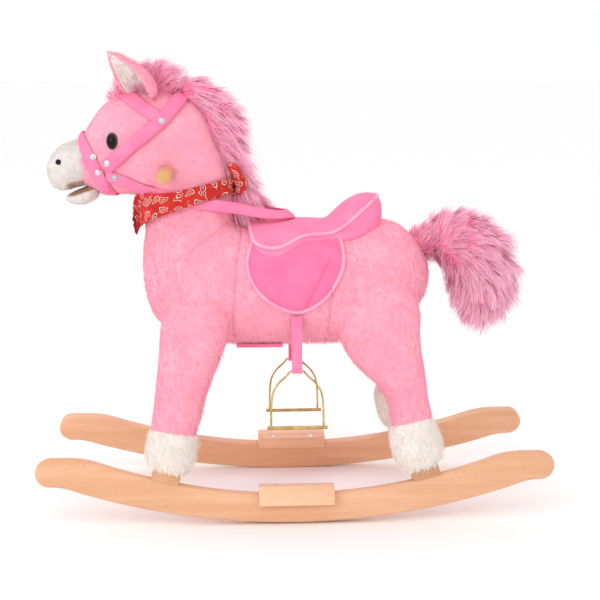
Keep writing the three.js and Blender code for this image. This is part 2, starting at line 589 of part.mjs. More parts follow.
// ---- Tail: a plume whose root ball turns in a socket in the rump ----
const TAIL = [
  [190, 379, 18, 18], [204, 384, 26, 25], [222, 388, 38, 35], [245, 386, 46, 43], [270, 366, 50, 47],
  [284, 336, 50, 47], [283, 306, 42, 40], [274, 284, 26, 24], [268, 272, 10, 10],
];
const TAIL_SWING = 20;
function tailPlume() {
  const rings = TAIL.map(([x, z, thick, half], i) => {
    const [x0, z0] = TAIL[Math.max(i - 1, 0)];
    const [x1, z1] = TAIL[Math.min(i + 1, TAIL.length - 1)];
    const along = vec(x1 - x0, 0, z1 - z0).normalize();
    const up = vec(-along.z, 0, along.x).multiplyScalar(thick);
    return { centre: vec(x, 0, z), across: vec(0, half, 0), up, power: 2 };
  });
  let plume = solidOf(loft(rings, 18));
  for (const degrees of [-TAIL_SWING, -TAIL_SWING / 2, 0, TAIL_SWING / 2, TAIL_SWING]) {
    const turn = new THREE.Matrix4().makeTranslation(...TAIL_PIVOT.toArray())
      .multiply(new THREE.Matrix4().makeRotationZ(THREE.MathUtils.degToRad(degrees)))
      .multiply(new THREE.Matrix4().makeTranslation(...TAIL_PIVOT.clone().negate().toArray()));
    plume = plume.subtract(solidOf(geometryOf(torsoLoft(2)), turn));
  }
  return biggest(plume.add(solidOf(new THREE.SphereGeometry(24, 20, 14).translate(...TAIL_PIVOT.toArray()))));
}
piece("tail", tailPlume(), longFur, horse);

// ---- Stirrups: a strap that swings under each flap, and a bent wire with a welded tread ----
for (const [side, sign] of Object.entries(SIDES)) {
  const { x, y, hang, strapWide, strapThick, loop, wire, legApart, tall, tread, treadLong } = STIRRUP;
  const eye = STRAP_DROP[side];
  const hung = new THREE.Group();
  hung.position.set(x, sign * y, hang);
  horse.add(hung);
  const strap = solidOf(box([strapWide, strapThick, eye - 5], [0, 0, -5 - (eye - 5) / 2]));
  const lying = (radius, long, drop) =>
    solidOf(new THREE.CylinderGeometry(radius, radius, long, 12).rotateZ(Math.PI / 2).translate(0, 0, -drop));
  const roll = lying(loop, strapWide, eye);
  const bore = lying(wire + GAP, strapWide + 2, eye);
  piece(`stirrup_strap_${side}`, strap.add(roll).subtract(bore), pinkFelt, hung);
  const half = legApart / 2;
  const bend = [[6, 0], [9.6, -0.3], [15, -7], [26, -17], [34, -30], [half, -46], [half + 1, -tall]];
  const knots = (side) => bend.map(([u, w]) => vec(side * u, 0, w - eye));
  const path = new THREE.CatmullRomCurve3([...knots(-1).reverse(), ...knots(1)], false, "centripetal");
  const section = new THREE.Shape().absarc(0, 0, wire, 0, 2 * Math.PI);
  const bow = new THREE.ExtrudeGeometry(section, {
    steps: 40, extrudePath: path, curveSegments: 4, bevelEnabled: false,
  });
  piece(`stirrup_${side}`, solidOf(bow).add(lying(tread, treadLong, eye + tall)), brassWire, hung);
}

export default horse;
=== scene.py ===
# A plush rocking horse: stuffed body and head, long fur, bridle, scarf, saddle, stirrups and wooden rockers.
# Metres, +Z up, nose towards -X, the horse's left side towards -Y.
import math

import bmesh
import bpy
import numpy as np
from mathutils import Matrix, Vector
from mathutils.bvhtree import BVHTree


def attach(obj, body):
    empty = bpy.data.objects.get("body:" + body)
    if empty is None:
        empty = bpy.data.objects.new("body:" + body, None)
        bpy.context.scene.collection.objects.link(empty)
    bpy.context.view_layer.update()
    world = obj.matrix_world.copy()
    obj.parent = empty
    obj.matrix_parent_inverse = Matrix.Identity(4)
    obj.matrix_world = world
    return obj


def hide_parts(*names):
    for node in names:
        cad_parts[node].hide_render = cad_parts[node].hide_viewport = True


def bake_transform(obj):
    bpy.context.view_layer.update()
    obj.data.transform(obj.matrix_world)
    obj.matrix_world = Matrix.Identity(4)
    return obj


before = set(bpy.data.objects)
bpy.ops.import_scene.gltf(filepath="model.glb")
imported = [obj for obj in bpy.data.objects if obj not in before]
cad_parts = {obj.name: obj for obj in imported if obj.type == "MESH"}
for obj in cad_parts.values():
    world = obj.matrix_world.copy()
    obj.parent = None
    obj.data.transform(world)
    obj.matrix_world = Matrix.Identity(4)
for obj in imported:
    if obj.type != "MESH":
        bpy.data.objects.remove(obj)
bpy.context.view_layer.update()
SCENE = bpy.context.scene
SIDES = {"left": -1, "right": 1}
LEGS = [f"{end}_{side}" for end in ("front", "rear") for side in SIDES]
OVAL = 2.3  # how square a loft's rings are: 2 is a plain ellipse
CORD_SIDES = 10
SETTLING_FRAMES = 20  # how long stuffed cloth is left to settle
STUFFING = 3.0  # the pressure inside the stuffed parts
STRAP_WIDE, STRAP_THICK = 0.018, 0.0021
STRAP_UNDER, STRAP_OVER = 0.0014, 0.0034  # how far a strap lies off the skin, and off a strap below it
STRAP_POINTS = 7  # points across a strap


# ---- Meshes ----
def new_piece(name, vertices, faces, smooth=True):
    mesh = bpy.data.meshes.new(name)
    mesh.from_pydata([tuple(v) for v in vertices], [], [tuple(f) for f in faces])
    mesh.validate()
    mesh.update()
    piece = bpy.data.objects.new(name, mesh)
    SCENE.collection.objects.link(piece)
    if smooth:
        mesh.shade_smooth()
    return piece


def baked(piece):
    """The piece with its modifiers turned into plain mesh."""
    graph = bpy.context.evaluated_depsgraph_get()
    mesh = bpy.data.meshes.new_from_object(piece.evaluated_get(graph))
    piece.modifiers.clear()
    old = piece.data
    piece.data = mesh
    bpy.data.meshes.remove(old)
    mesh.name = piece.name
    return piece


def points_of(piece):
    out = np.empty(len(piece.data.vertices) * 3)
    piece.data.vertices.foreach_get("co", out)
    return out.reshape(-1, 3)


def normals_of(piece):
    out = np.empty(len(piece.data.vertices) * 3)
    piece.data.vertex_normals.foreach_get("vector", out)
    return out.reshape(-1, 3)


def set_points(piece, points):
    piece.data.vertices.foreach_set("co", np.ascontiguousarray(points).reshape(-1))
    piece.data.update()


def store(piece, name, values, kind="FLOAT"):
    """A value for each vertex, which a material or a node tree reads by its name."""
    layer = piece.data.attributes.new(name, kind, "POINT")
    layer.data.foreach_set("vector" if kind == "FLOAT_VECTOR" else "value", np.ravel(values))


def grid_faces(rows, columns, closed_rows=False, closed_columns=False):
    faces = []
    for i in range(rows if closed_rows else rows - 1):
        for j in range(columns if closed_columns else columns - 1):
            a, b = i * columns + j, i * columns + (j + 1) % columns
            c, d = ((i + 1) % rows) * columns + (j + 1) % columns, ((i + 1) % rows) * columns + j
            faces.append((a, b, c, d))
    return faces


def loft(name, rings, sides=24):
    """A closed skin through oval rings, each (centre, across, up); across x up points along the loft."""
    vertices = []
    for centre, across, up in rings:
        for k in range(sides):
            c, s = math.cos(math.tau * k / sides), math.sin(math.tau * k / sides)
            a = math.copysign(abs(c) ** (2 / OVAL), c)
            b = math.copysign(abs(s) ** (2 / OVAL), s)
            vertices.append(Vector(centre) + Vector(across) * a + Vector(up) * b)
    faces = grid_faces(len(rings), sides, closed_columns=True)
    last = (len(rings) - 1) * sides
    faces.append(tuple(reversed(range(sides))))
    faces.append(tuple(range(last, last + sides)))
    return new_piece(name, vertices, faces)


def smooth_curve(points, count):
    """Evenly counted points on a smooth curve through the given ones."""
    knots = np.array(points, float)
    t = np.r_[0, np.cumsum(np.linalg.norm(np.diff(knots, axis=0), axis=1) ** 0.5)]
    slope = np.gradient(knots, t, axis=0)
    out = []
    for u in np.linspace(0, t[-1], count):
        i = min(np.searchsorted(t, u, side="right") - 1, len(t) - 2)
        h = t[i + 1] - t[i]
        s = (u - t[i]) / h
        out.append((2 * s**3 - 3 * s**2 + 1) * knots[i] + (s**3 - 2 * s**2 + s) * h * slope[i]
                   + (3 * s**2 - 2 * s**3) * knots[i + 1] + (s**3 - s**2) * h * slope[i + 1])
    return np.array(out)


def tube(name, path, radius, closed=False):
    """A round cord along the path."""
    path, sides = np.array(path, float), CORD_SIDES
    ahead = np.roll(path, -1, 0) - np.roll(path, 1, 0)
    if not closed:
        ahead[0], ahead[-1] = path[1] - path[0], path[-1] - path[-2]
    side = Vector(ahead[0]).orthogonal().normalized()
    vertices = []
    for centre, forward in zip(path, ahead):
        forward = Vector(forward).normalized()
        side = (side - forward * side.dot(forward)).normalized()
        other = forward.cross(side)
        for k in range(sides):
            turn = math.tau * k / sides
            vertices.append(Vector(centre) + (side * math.cos(turn) + other * math.sin(turn)) * radius)
    faces = grid_faces(len(path), sides, closed_rows=closed, closed_columns=True)
    if not closed:
        last = (len(path) - 1) * sides
        faces += [tuple(reversed(range(sides))), tuple(range(last, last + sides))]
    return outward(new_piece(name, vertices, faces))


def outward(piece):
    """Faces made to point out of the closed form."""
    body = bmesh.new()
    body.from_mesh(piece.data)
    bmesh.ops.remove_doubles(body, verts=body.verts, dist=1e-6)
    bmesh.ops.recalc_face_normals(body, faces=body.faces)
    body.to_mesh(piece.data)
    body.free()
    return piece


def strap(name, rows, lift, thick, closed=False):
    """Webbing over a surface: rows of (point, normal) across it, raised by lift, with softened edges."""
    count, across = len(rows), len(rows[0])
    under, over, flat = [], [], []
    run = 0.0
    for i, row in enumerate(rows):
        if i:
            run += (Vector(row[across // 2][0]) - Vector(rows[i - 1][across // 2][0])).length
        wide = (Vector(row[-1][0]) - Vector(row[0][0])).length
        for k, (point, normal) in enumerate(row):
            u = 2 * k / (across - 1) - 1
            edge = 1 - 0.75 * abs(u) ** 6
            under.append(Vector(point) + Vector(normal) * (lift + thick * 0.5 * (1 - edge)))
            over.append(Vector(point) + Vector(normal) * (lift + thick * (0.5 + 0.5 * edge)))
            flat.append((run, u * wide / 2, 0.0))
    top = grid_faces(count, across, closed_rows=closed)
    size = count * across
    faces = [tuple(i + size for i in face) for face in top] + [tuple(reversed(face)) for face in top]
    rim = range(count if closed else count - 1)
    for i in rim:
        a, b = i * across, (i + 1) % count * across
        faces += [(a, b, b + size, a + size), (a + across - 1, a + across - 1 + size, b + across - 1 + size,
                                               b + across - 1)]
    if not closed:
        for row in (0, count - 1):
            for k in range(across - 1):
                a = row * across + k
                faces.append((a, a + size, a + size + 1, a + 1))
    piece = new_piece(name, under + over, faces)
    store(piece, "flat", flat + flat, "FLOAT_VECTOR")
    return outward(piece)


def joined(name, parts):
    """Several meshes as one object."""
    body = bmesh.new()
    for part in parts:
        body.from_mesh(part.data)
        bpy.data.objects.remove(part)
    mesh = bpy.data.meshes.new(name)
    body.to_mesh(mesh)
    body.free()
    piece = bpy.data.objects.new(name, mesh)
    SCENE.collection.objects.link(piece)
    mesh.shade_smooth()
    return piece


def fused(piece, voxel, smoothing=0):
    """Overlapping closed forms become one skin of even quads."""
    remesh = piece.modifiers.new("Remesh", "REMESH")
    remesh.mode = "VOXEL"
    remesh.voxel_size = voxel
    if smoothing:
        soften = piece.modifiers.new("Smooth", "SMOOTH")
        soften.factor = 0.5
        soften.iterations = smoothing
    baked(piece)
    piece.data.shade_smooth()
    return piece


def subdivided(piece, levels=1):
    subdivision = piece.modifiers.new("Subdivision", "SUBSURF")
    subdivision.levels = subdivision.render_levels = levels
    baked(piece)
    piece.data.shade_smooth()
    return piece


def plumped(piece, pressure, cap, pinned=None):
    """Cloth filled with stuffing: the skin swells and wrinkles, no point moving further than cap."""
    start = points_of(piece)
    cloth = piece.modifiers.new("Cloth", "CLOTH")
    settings = cloth.settings
    settings.quality = 5
    settings.mass = 0.3
    settings.tension_stiffness = settings.compression_stiffness = 15.0
    settings.bending_stiffness = 0.5
    settings.use_pressure = True
    settings.uniform_pressure_force = pressure
    settings.effector_weights.gravity = 0
    if pinned is not None:
        group = piece.vertex_groups.new(name="pinned")
        group.add([int(i) for i in np.flatnonzero(pinned)], 1.0, "REPLACE")
        settings.vertex_group_mass = "pinned"
    cloth.point_cache.frame_start, cloth.point_cache.frame_end = 1, SETTLING_FRAMES
    for number in range(1, SETTLING_FRAMES + 1):
        SCENE.frame_set(number)
    graph = bpy.context.evaluated_depsgraph_get()
    swollen = piece.evaluated_get(graph)
    moved = np.empty(len(start) * 3)
    swollen.data.vertices.foreach_get("co", moved)
    piece.modifiers.remove(cloth)
    piece.vertex_groups.clear()
    shift = moved.reshape(-1, 3) - start
    length = np.maximum(np.linalg.norm(shift, axis=1, keepdims=True), 1e-9)
    set_points(piece, start + shift / length * cap * np.tanh(length / cap))
    SCENE.frame_set(1)
    return piece


def surface(piece):
    return BVHTree.FromObject(piece, bpy.context.evaluated_depsgraph_get())


# ---- Node trees ----
class Nodes:
    """Adds linked nodes to a tree: an input is given a value, or the socket that feeds it."""

    def __init__(self, tree):
        self.tree = tree

    def add(self, kind, inputs=None, **settings):
        node = self.tree.nodes.new(kind)
        for key, value in settings.items():
            setattr(node, key, value)
        for key, value in (inputs or {}).items():
            socket = node.inputs[key]
            if isinstance(value, bpy.types.NodeSocket):
                self.tree.links.new(value, socket)
            else:
                socket.default_value = value
        return node

    def group(self, tree, **inputs):
        """A shared effect placed in this tree, with its own values."""
        return self.add("ShaderNodeGroup", inputs, node_tree=tree)

    def math(self, operation, a, b=0.0, c=0.0):
        return self.add("ShaderNodeMath", {0: a, 1: b, 2: c}, operation=operation).outputs[0]

    def vector(self, operation, a, b=(0, 0, 0), scale=None):
        inputs = {0: a, 1: b} if scale is None else {0: a, "Scale": scale}
        node = self.add("ShaderNodeVectorMath", inputs, operation=operation)
        return node.outputs[1 if operation in ("LENGTH", "DISTANCE", "DOT_PRODUCT") else 0]

    def noise(self, vector, scale, detail=3.0, roughness=0.55):
        inputs = {"Vector": vector, "Scale": scale, "Detail": detail, "Roughness": roughness}
        return self.add("ShaderNodeTexNoise", inputs).outputs["Fac"]

    def between(self, value, low, high, out_low=0.0, out_high=1.0):
        inputs = {"Value": value, "From Min": low, "From Max": high, "To Min": out_low, "To Max": out_high}
        return self.add("ShaderNodeMapRange", inputs, interpolation_type="SMOOTHSTEP").outputs[0]

    def mix(self, factor, a, b):
        node = self.add("ShaderNodeMix", {0: factor}, data_type="RGBA")
        for socket, value in ((node.inputs[6], a), (node.inputs[7], b)):
            if isinstance(value, bpy.types.NodeSocket):
                self.tree.links.new(value, socket)
            else:
                socket.default_value = value
        return node.outputs[2]


def shader_group(name, inputs, outputs):
    tree = bpy.data.node_groups.new(name, "ShaderNodeTree")
    for label, kind, value in inputs:
        socket = tree.interface.new_socket(label, in_out="INPUT", socket_type=kind)
        if value is not None:
            socket.default_value = value
    for label, kind in outputs:
        tree.interface.new_socket(label, in_out="OUTPUT", socket_type=kind)
    nodes = Nodes(tree)
    return nodes, nodes.add("NodeGroupInput"), nodes.add("NodeGroupOutput")


def material(name, **values):
    """A material whose shader has these plain values; the varying ones are linked afterwards."""
    made = bpy.data.materials.new(name)
    made.use_nodes = True
    shader = made.node_tree.nodes["Principled BSDF"]
    for label, value in values.items():
        shader.inputs[label.replace("_", " ").title().replace("Ior", "IOR")].default_value = value
    return made, Nodes(made.node_tree), shader


def bumped(nodes, shader, height, strength, distance):
    bump = nodes.add("ShaderNodeBump", {"Height": height, "Strength": strength, "Distance": distance})
    nodes.tree.links.new(bump.outputs[0], shader.inputs["Normal"])


def rgb(red, green, blue):
    """A colour given as it looks on a screen, 0 to 255."""
    shares = [c / 255 for c in (red, green, blue)]
    return (*[s / 12.92 if s <= 10 / 255 else ((s + 0.055) / 1.055) ** 2.4 for s in shares], 1.0)


def pile_group():
    """Short pile: broad patches of painted light and shade, and the fine nap between them."""
    nodes, inside, outside = shader_group(
        "Pile",
        [("Vector", "NodeSocketVector", None), ("Patch", "NodeSocketFloat", 22.0),
         ("Nap", "NodeSocketFloat", 420.0)],
        [("Lit_patches", "NodeSocketFloat"), ("Height", "NodeSocketFloat")],
    )
    vector = inside.outputs["Vector"]
    broad = nodes.noise(vector, inside.outputs["Patch"], 2.0)
    streaks = nodes.add("ShaderNodeMapping", {"Vector": vector, "Scale": (1.0, 1.0, 0.35)}).outputs[0]
    nap = nodes.noise(streaks, inside.outputs["Nap"], 3.0, 0.7)
    tufts = nodes.noise(vector, nodes.math("MULTIPLY", inside.outputs["Nap"], 0.22), 2.0)
    # Painted light: where the pile catches the light or lies in shade.
    lit_patches = nodes.math("ADD", nodes.math("MULTIPLY", broad, 0.7), nodes.math("MULTIPLY", tufts, 0.3))
    height = nodes.math("ADD", nap, nodes.math("MULTIPLY", tufts, 0.8))
    nodes.tree.links.new(nodes.between(lit_patches, 0.32, 0.68), outside.inputs["Lit_patches"])
    nodes.tree.links.new(height, outside.inputs["Height"])
    return nodes.tree


PILE = pile_group()


def plush(name, light, deep, seam_shade, sheen):
    """Short-pile plush: two tones laid in patches as painted light, and painted shade in its sewn seams."""
    made, nodes, shader = material(name, roughness=0.95, sheen_weight=sheen, sheen_roughness=0.45,
                                   specular_ior_level=0.15)
    shader.inputs["Sheen Tint"].default_value = light
    place = nodes.add("ShaderNodeTexCoord").outputs["Object"]
    pile = nodes.group(PILE, Vector=place)
    seam = nodes.add("ShaderNodeAttribute", attribute_name="seam").outputs["Fac"]
    # Painted light: lit and shaded patches of the pile.
    colour = nodes.mix(pile.outputs["Lit_patches"], deep, light)
    # Painted shade in the sewn seams.
    colour = nodes.mix(nodes.math("MULTIPLY", seam, 0.55), colour, seam_shade)
    mouth = nodes.add("ShaderNodeAttribute", attribute_name="mouth").outputs["Fac"]
    colour = nodes.mix(mouth, colour, nodes.mix(pile.outputs["Lit_patches"], rgb(136, 88, 62), rgb(168, 116, 84)))
    nodes.tree.links.new(colour, shader.inputs["Base Color"])
    bumped(nodes, shader, pile.outputs["Height"], 0.35, 0.0015)
    return made


# Each plush: the lit and shaded tones of its painted light, then the painted shade of its seams.
PINK_PLUSH = plush("pink_plush", rgb(252, 176, 196), rgb(250, 158, 180), rgb(222, 108, 140), 0.3)
WHITE_PLUSH = plush("white_plush", rgb(246, 238, 232), rgb(230, 220, 212), rgb(202, 188, 178), 0.3)
MUZZLE_WHITE = plush("muzzle_white", rgb(230, 222, 218), rgb(212, 202, 198), rgb(186, 172, 166), 0.2)


# ---- Camera, floor and lights ----
def set_camera():
    """The camera stands off the left side, a little above the saddle and looking slightly down."""
    place = Vector((-0.0552, -1.8402, 0.6395))
    turn, dip, roll = math.radians(2.06), math.radians(10.48), math.radians(-0.34)
    look = Vector((math.sin(turn) * math.cos(dip), math.cos(turn) * math.cos(dip), -math.sin(dip)))
    level = Vector((math.cos(turn), -math.sin(turn), 0))
    right = level * math.cos(roll) + level.cross(look) * math.sin(roll)
    lens = bpy.data.cameras.new("camera")
    lens.lens, lens.sensor_width = 75.47, 36.0
    camera = bpy.data.objects.new("camera", lens)
    SCENE.collection.objects.link(camera)
    upright = right.cross(look)
    camera.matrix_world = Matrix((right, upright, -look)).transposed().to_4x4()
    camera.location = place
    SCENE.camera = camera


def set_light(name, place, aim, size, power):
    lamp = bpy.data.lights.new(name, "AREA")
    lamp.size, lamp.energy = size, power
    holder = bpy.data.objects.new(name, lamp)
    SCENE.collection.objects.link(holder)
    holder.location = place
    holder.rotation_euler = (Vector(aim) - Vector(place)).to_track_quat("-Z", "Y").to_euler()


def set_stage():
    """A wide pale floor, a white room and soft lamps."""
    reach = 60
    corners = [(-reach, -reach, 0), (reach, -reach, 0), (reach, reach, 0), (-reach, reach, 0)]
    floor = new_piece("floor", corners, [(0, 1, 2, 3)], smooth=False)
    made, nodes, shader = material("pale_floor", roughness=0.9, specular_ior_level=0.1)
    place = nodes.add("ShaderNodeTexCoord").outputs["Object"]
    colour = nodes.mix(nodes.noise(place, 6.0), (0.985, 0.985, 0.985, 1), (1.0, 1.0, 1.0, 1))
    nodes.tree.links.new(colour, shader.inputs["Base Color"])
    floor.data.materials.append(made)
    world = bpy.data.worlds.new("studio")
    world.use_nodes = True
    world.node_tree.nodes["Background"].inputs[0].default_value = (1, 1, 1, 1)
    world.node_tree.nodes["Background"].inputs[1].default_value = 1.0
    SCENE.world = world
    SCENE.view_settings.view_transform = "Standard"
    set_light("key", (-1.0, -1.6, 2.3), (0, 0, 0.3), 1.5, 9)
    set_light("back", (0.3, 2.0, 1.8), (0, 0, 0.4), 1.6, 6)
    set_light("sparkle", (-1.70, -1.63, 1.02), (-0.25, 0, 0.52), 0.32, 7.0)
    set_light("fill", (0.0, -1.3, 0.12), (0, 0, 0.3), 0.7, 0.35)


set_camera()
set_stage()


# ---- The stuffed body: torso, lower neck and legs, sewn from panels ----
# Torso: x, bottom, top, half width.
TORSO = [
    (-0.219, 0.344, 0.368, 0.016), (-0.215, 0.308, 0.402, 0.042), (-0.204, 0.279, 0.426, 0.060),
    (-0.183, 0.257, 0.438, 0.073), (-0.155, 0.244, 0.438, 0.082), (-0.115, 0.239, 0.426, 0.087),
    (-0.070, 0.238, 0.413, 0.088), (-0.020, 0.238, 0.408, 0.088), (0.040, 0.238, 0.406, 0.088),
    (0.090, 0.240, 0.411, 0.088), (0.130, 0.248, 0.420, 0.086), (0.157, 0.262, 0.413, 0.078),
    (0.178, 0.283, 0.395, 0.064), (0.194, 0.304, 0.372, 0.045), (0.201, 0.327, 0.349, 0.020),
]
# Neck: z, front x, back x, half width.
NECK = [
    (0.340, -0.196, -0.070, 0.062), (0.385, -0.207, -0.078, 0.057), (0.415, -0.216, -0.084, 0.056),
    (0.450, -0.219, -0.084, 0.054), (0.480, -0.219, -0.087, 0.052), (0.510, -0.212, -0.099, 0.050),
    (0.540, -0.200, -0.111, 0.047), (0.575, -0.186, -0.125, 0.037), (0.594, -0.176, -0.140, 0.022),
]
# Legs along their posts: height, forward reach, backward reach, half thickness.
LEG = {
    "front": [
        (0.060, -0.030, 0.031, 0.029), (0.083, -0.034, 0.031, 0.031), (0.133, -0.037, 0.034, 0.032),
        (0.180, -0.041, 0.041, 0.036), (0.205, -0.044, 0.047, 0.038), (0.235, -0.048, 0.051, 0.038),
        (0.262, -0.044, 0.050, 0.032), (0.290, -0.030, 0.034, 0.018),
    ],
    "rear": [
        (0.070, -0.030, 0.030, 0.029), (0.095, -0.027, 0.033, 0.030), (0.131, -0.0235, 0.035, 0.031),
        (0.150, -0.0245, 0.039, 0.032), (0.168, -0.033, 0.042, 0.034), (0.192, -0.049, 0.044, 0.037),
        (0.218, -0.060, 0.050, 0.038), (0.242, -0.064, 0.059, 0.038), (0.267, -0.056, 0.062, 0.032),
        (0.292, -0.034, 0.040, 0.018),
    ],
}
LEAN = math.radians(10)
POST_FOOT = 0.045
STAND = {"front": (-0.190, math.radians(11.3)), "rear": (0.191, math.radians(-15.9))}


def leg_frame(key):
    """The post's own frame: its foot in the rocker, leaning in and raked towards the belly."""
    end, side = key.split("_")
    x, rake = STAND[end]
    track = SIDES[side] * 0.13
    lean = Matrix.Translation((0, track, 0.0014)) @ Matrix.Rotation(SIDES[side] * LEAN, 4, "X")
    return lean @ Matrix.Translation((x, 0, POST_FOOT)) @ Matrix.Rotation(rake, 4, "Y")


def along_x(stations):
    forward = math.copysign(1, stations[1][0] - stations[0][0])
    rings = []
    for x, bottom, top, half in stations:
        side, rise = Vector((0, half, 0)), Vector((0, 0, (top - bottom) / 2))
        centre = (x, 0, (top + bottom) / 2)
        rings.append((centre, side, rise) if forward > 0 else (centre, rise, side))
    return rings


def going_up(stations):
    return [(((a + b) / 2, 0, z), ((b - a) / 2, 0, 0), (0, half, 0)) for z, a, b, half in stations]


def leg_rings(stations, place):
    """Oval rings up a leg, in the leg's own frame."""
    turn, rings = place.to_3x3(), []
    for height, a, b, half in stations:
        centre = place @ Vector(((a + b) / 2, 0, height))
        rings.append((centre, turn @ Vector(((b - a) / 2, 0, 0)), turn @ Vector((0, half, 0))))
    return rings


def pushed_in(piece, seam, depth):
    """Draws the skin in along its seams, and keeps the seams for the material's painted shade."""
    set_points(piece, points_of(piece) - normals_of(piece) * (seam * depth)[:, None])
    store(piece, "seam", seam)


def ridge(distance, width):
    """1 on a line, falling to nothing within about twice the width."""
    return np.exp(-((distance / width) ** 2))


def body_seams(points):
    """The seams before and behind the saddle, over the shoulder, and down the middle."""
    x, y, z = points.T
    wide = 0.0018
    front = np.interp(z, [0.24, 0.263, 0.323, 0.372, 0.405, 0.43],
                      [-0.089, -0.087, -0.085, -0.081, -0.074, -0.079])
    rear = np.interp(z, [0.24, 0.272, 0.321, 0.42], [0.047, 0.049, 0.053, 0.060])
    torso = (np.abs(y) > 0.03) & (np.abs(y) < 0.096)
    seam = ridge(x - front, wide) * torso
    seam = np.maximum(seam, ridge(x - rear, wide) * torso * (z < 0.33))
    shoulder = (x + 0.088) * 0.55 - (z - 0.424) * 0.83
    seam = np.maximum(seam, 0.6 * ridge(shoulder, wide) * torso * (x < -0.09) * (x > -0.17) * (z > 0.33))
    middle = (z > 0.40) | (z < 0.26) | (np.abs(x) > 0.17)
    return np.maximum(seam, 0.8 * ridge(y, wide) * middle)


def stuffed_body():
    parts = [loft("torso", along_x(TORSO)), loft("neck", going_up(NECK))]
    for key in LEGS:
        parts.append(loft(key, leg_rings(LEG[key.split("_")[0]], leg_frame(key))))
    body = fused(joined("body", parts), 0.006, 6)
    points = points_of(body)
    plumped(body, STUFFING, 0.006, pinned=(points[:, 2] < 0.15) | (points[:, 2] > 0.55))
    subdivided(body)
    # The neck's hidden top is cut off inside the head.
    cut = bmesh.new()
    cut.from_mesh(body.data)
    bmesh.ops.bisect_plane(cut, geom=cut.verts[:] + cut.edges[:] + cut.faces[:], plane_co=(-0.15, 0, 0.474),
                           plane_no=(-0.3, 0, 0.95), clear_outer=True)
    bmesh.ops.holes_fill(cut, edges=[e for e in cut.edges if e.is_boundary])
    cut.to_mesh(body.data)
    cut.free()
    pushed_in(body, body_seams(points_of(body)), 0.0016)
    body.data.materials.append(PINK_PLUSH)
    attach(body, "horse")
    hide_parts("body_plush", *[f"leg_plush_{key}" for key in LEGS])
    return body


# ---- Head and muzzle ----
FACE = [
    (-0.120, 0.532, 0.566, 0.018), (-0.136, 0.497, 0.588, 0.039), (-0.160, 0.471, 0.602, 0.052),
    (-0.195, 0.459, 0.609, 0.058), (-0.230, 0.459, 0.606, 0.058), (-0.256, 0.460, 0.599, 0.054),
    (-0.275, 0.461, 0.584, 0.048), (-0.289, 0.468, 0.562, 0.0435), (-0.301, 0.475, 0.543, 0.0400),
    (-0.316, 0.473, 0.533, 0.0370),
]
MUZZLE = [
    (-0.272, 0.481, 0.552, 0.036), (-0.290, 0.476, 0.548, 0.0405), (-0.302, 0.4725, 0.542, 0.0412),
    (-0.316, 0.4695, 0.5375, 0.0400), (-0.328, 0.4655, 0.5335, 0.0380), (-0.338, 0.4660, 0.5275, 0.0345),
    (-0.3460, 0.4720, 0.5185, 0.0285), (-0.3515, 0.4810, 0.5095, 0.0180), (-0.3540, 0.4890, 0.5000, 0.0070),
]
JAW = [
    (-0.282, 0.4560, 0.4735, 0.019), (-0.291, 0.4490, 0.4750, 0.0255), (-0.304, 0.4450, 0.4695, 0.0275),
    (-0.317, 0.4465, 0.4640, 0.0250), (-0.3255, 0.4505, 0.4600, 0.0170), (-0.3290, 0.4540, 0.4570, 0.007),
]


def head_seams(points):
    x, y, z = points.T
    crown = ridge(np.abs(y) - 0.021, 0.0016) * (z > 0.555) * (x < -0.15)
    throat = ridge(y, 0.0018) * (z < 0.49)
    return np.maximum(crown, throat) * 0.8


def stuffed_head():
    parts = [loft("face", along_x(FACE)), loft("upper_neck", going_up(NECK[3:]))]
    for sign in SIDES.values():
        cheek = bpy.data.meshes.new("cheek")
        ball = bmesh.new()
        bmesh.ops.create_uvsphere(ball, u_segments=20, v_segments=14, radius=1)
        bmesh.ops.transform(ball, verts=ball.verts, matrix=Matrix.Translation((-0.205, sign * 0.030, 0.512))
                            @ Matrix.Diagonal((0.046, 0.033, 0.042, 1)))
        ball.to_mesh(cheek)
        ball.free()
        holder = bpy.data.objects.new("cheek", cheek)
        SCENE.collection.objects.link(holder)
        parts.append(holder)
    head = fused(joined("head", parts), 0.005, 5)
    points = points_of(head)
    plumped(head, STUFFING, 0.004, pinned=points[:, 2] < 0.47)
    subdivided(head)
    pushed_in(head, head_seams(points_of(head)), 0.0012)
    head.data.materials.append(PINK_PLUSH)
    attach(head, "horse")
    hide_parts("head_plush")
    return head


def stuffed_part(name, rings, node, voxel=0.004, cap=0.002, mouth=None, finish=WHITE_PLUSH):
    """A small white part; mouth says how brown the cloth is at each point."""
    piece = fused(loft(name, rings), voxel, 4)
    plumped(piece, STUFFING, cap)
    subdivided(piece)
    points, normals = points_of(piece), normals_of(piece)
    # The hoof seam is painted shade only; the skin is not drawn in.
    store(piece, "seam", toe_seams(points) if "hoof" in name else np.zeros(len(points)))
    store(piece, "mouth", mouth(points, normals) if mouth else np.zeros(len(points)))
    piece.data.materials.append(finish)
    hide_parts(node)
    return piece


def toe_seams(points):
    """One seam up the front of each hoof, only painted as a line of shade."""
    place = [leg_frame(key) @ Vector((0, 0, 0.06)) for key in LEGS]
    x, y, z = points.T
    middle = min(place, key=lambda spot: (spot.x - x.mean()) ** 2 + (spot.y - y.mean()) ** 2)
    return 0.8 * ridge(y - middle.y - (z - 0.1) * 0.15 * math.copysign(1, -middle.y), 0.0016) * (x < middle.x)


def roof_of_mouth(points, normals):
    """The brown cloth on the muzzle's underside."""
    return np.clip((-normals[:, 2] - 0.66) * 7, 0, 1) * np.clip((points[:, 0] + 0.326) / 0.004, 0, 1)


def bed_of_mouth(points, normals):
    """The brown cloth on top of the jaw."""
    return np.clip((normals[:, 2] - 0.45) * 5, 0, 1) * (points[:, 0] > -0.3225)


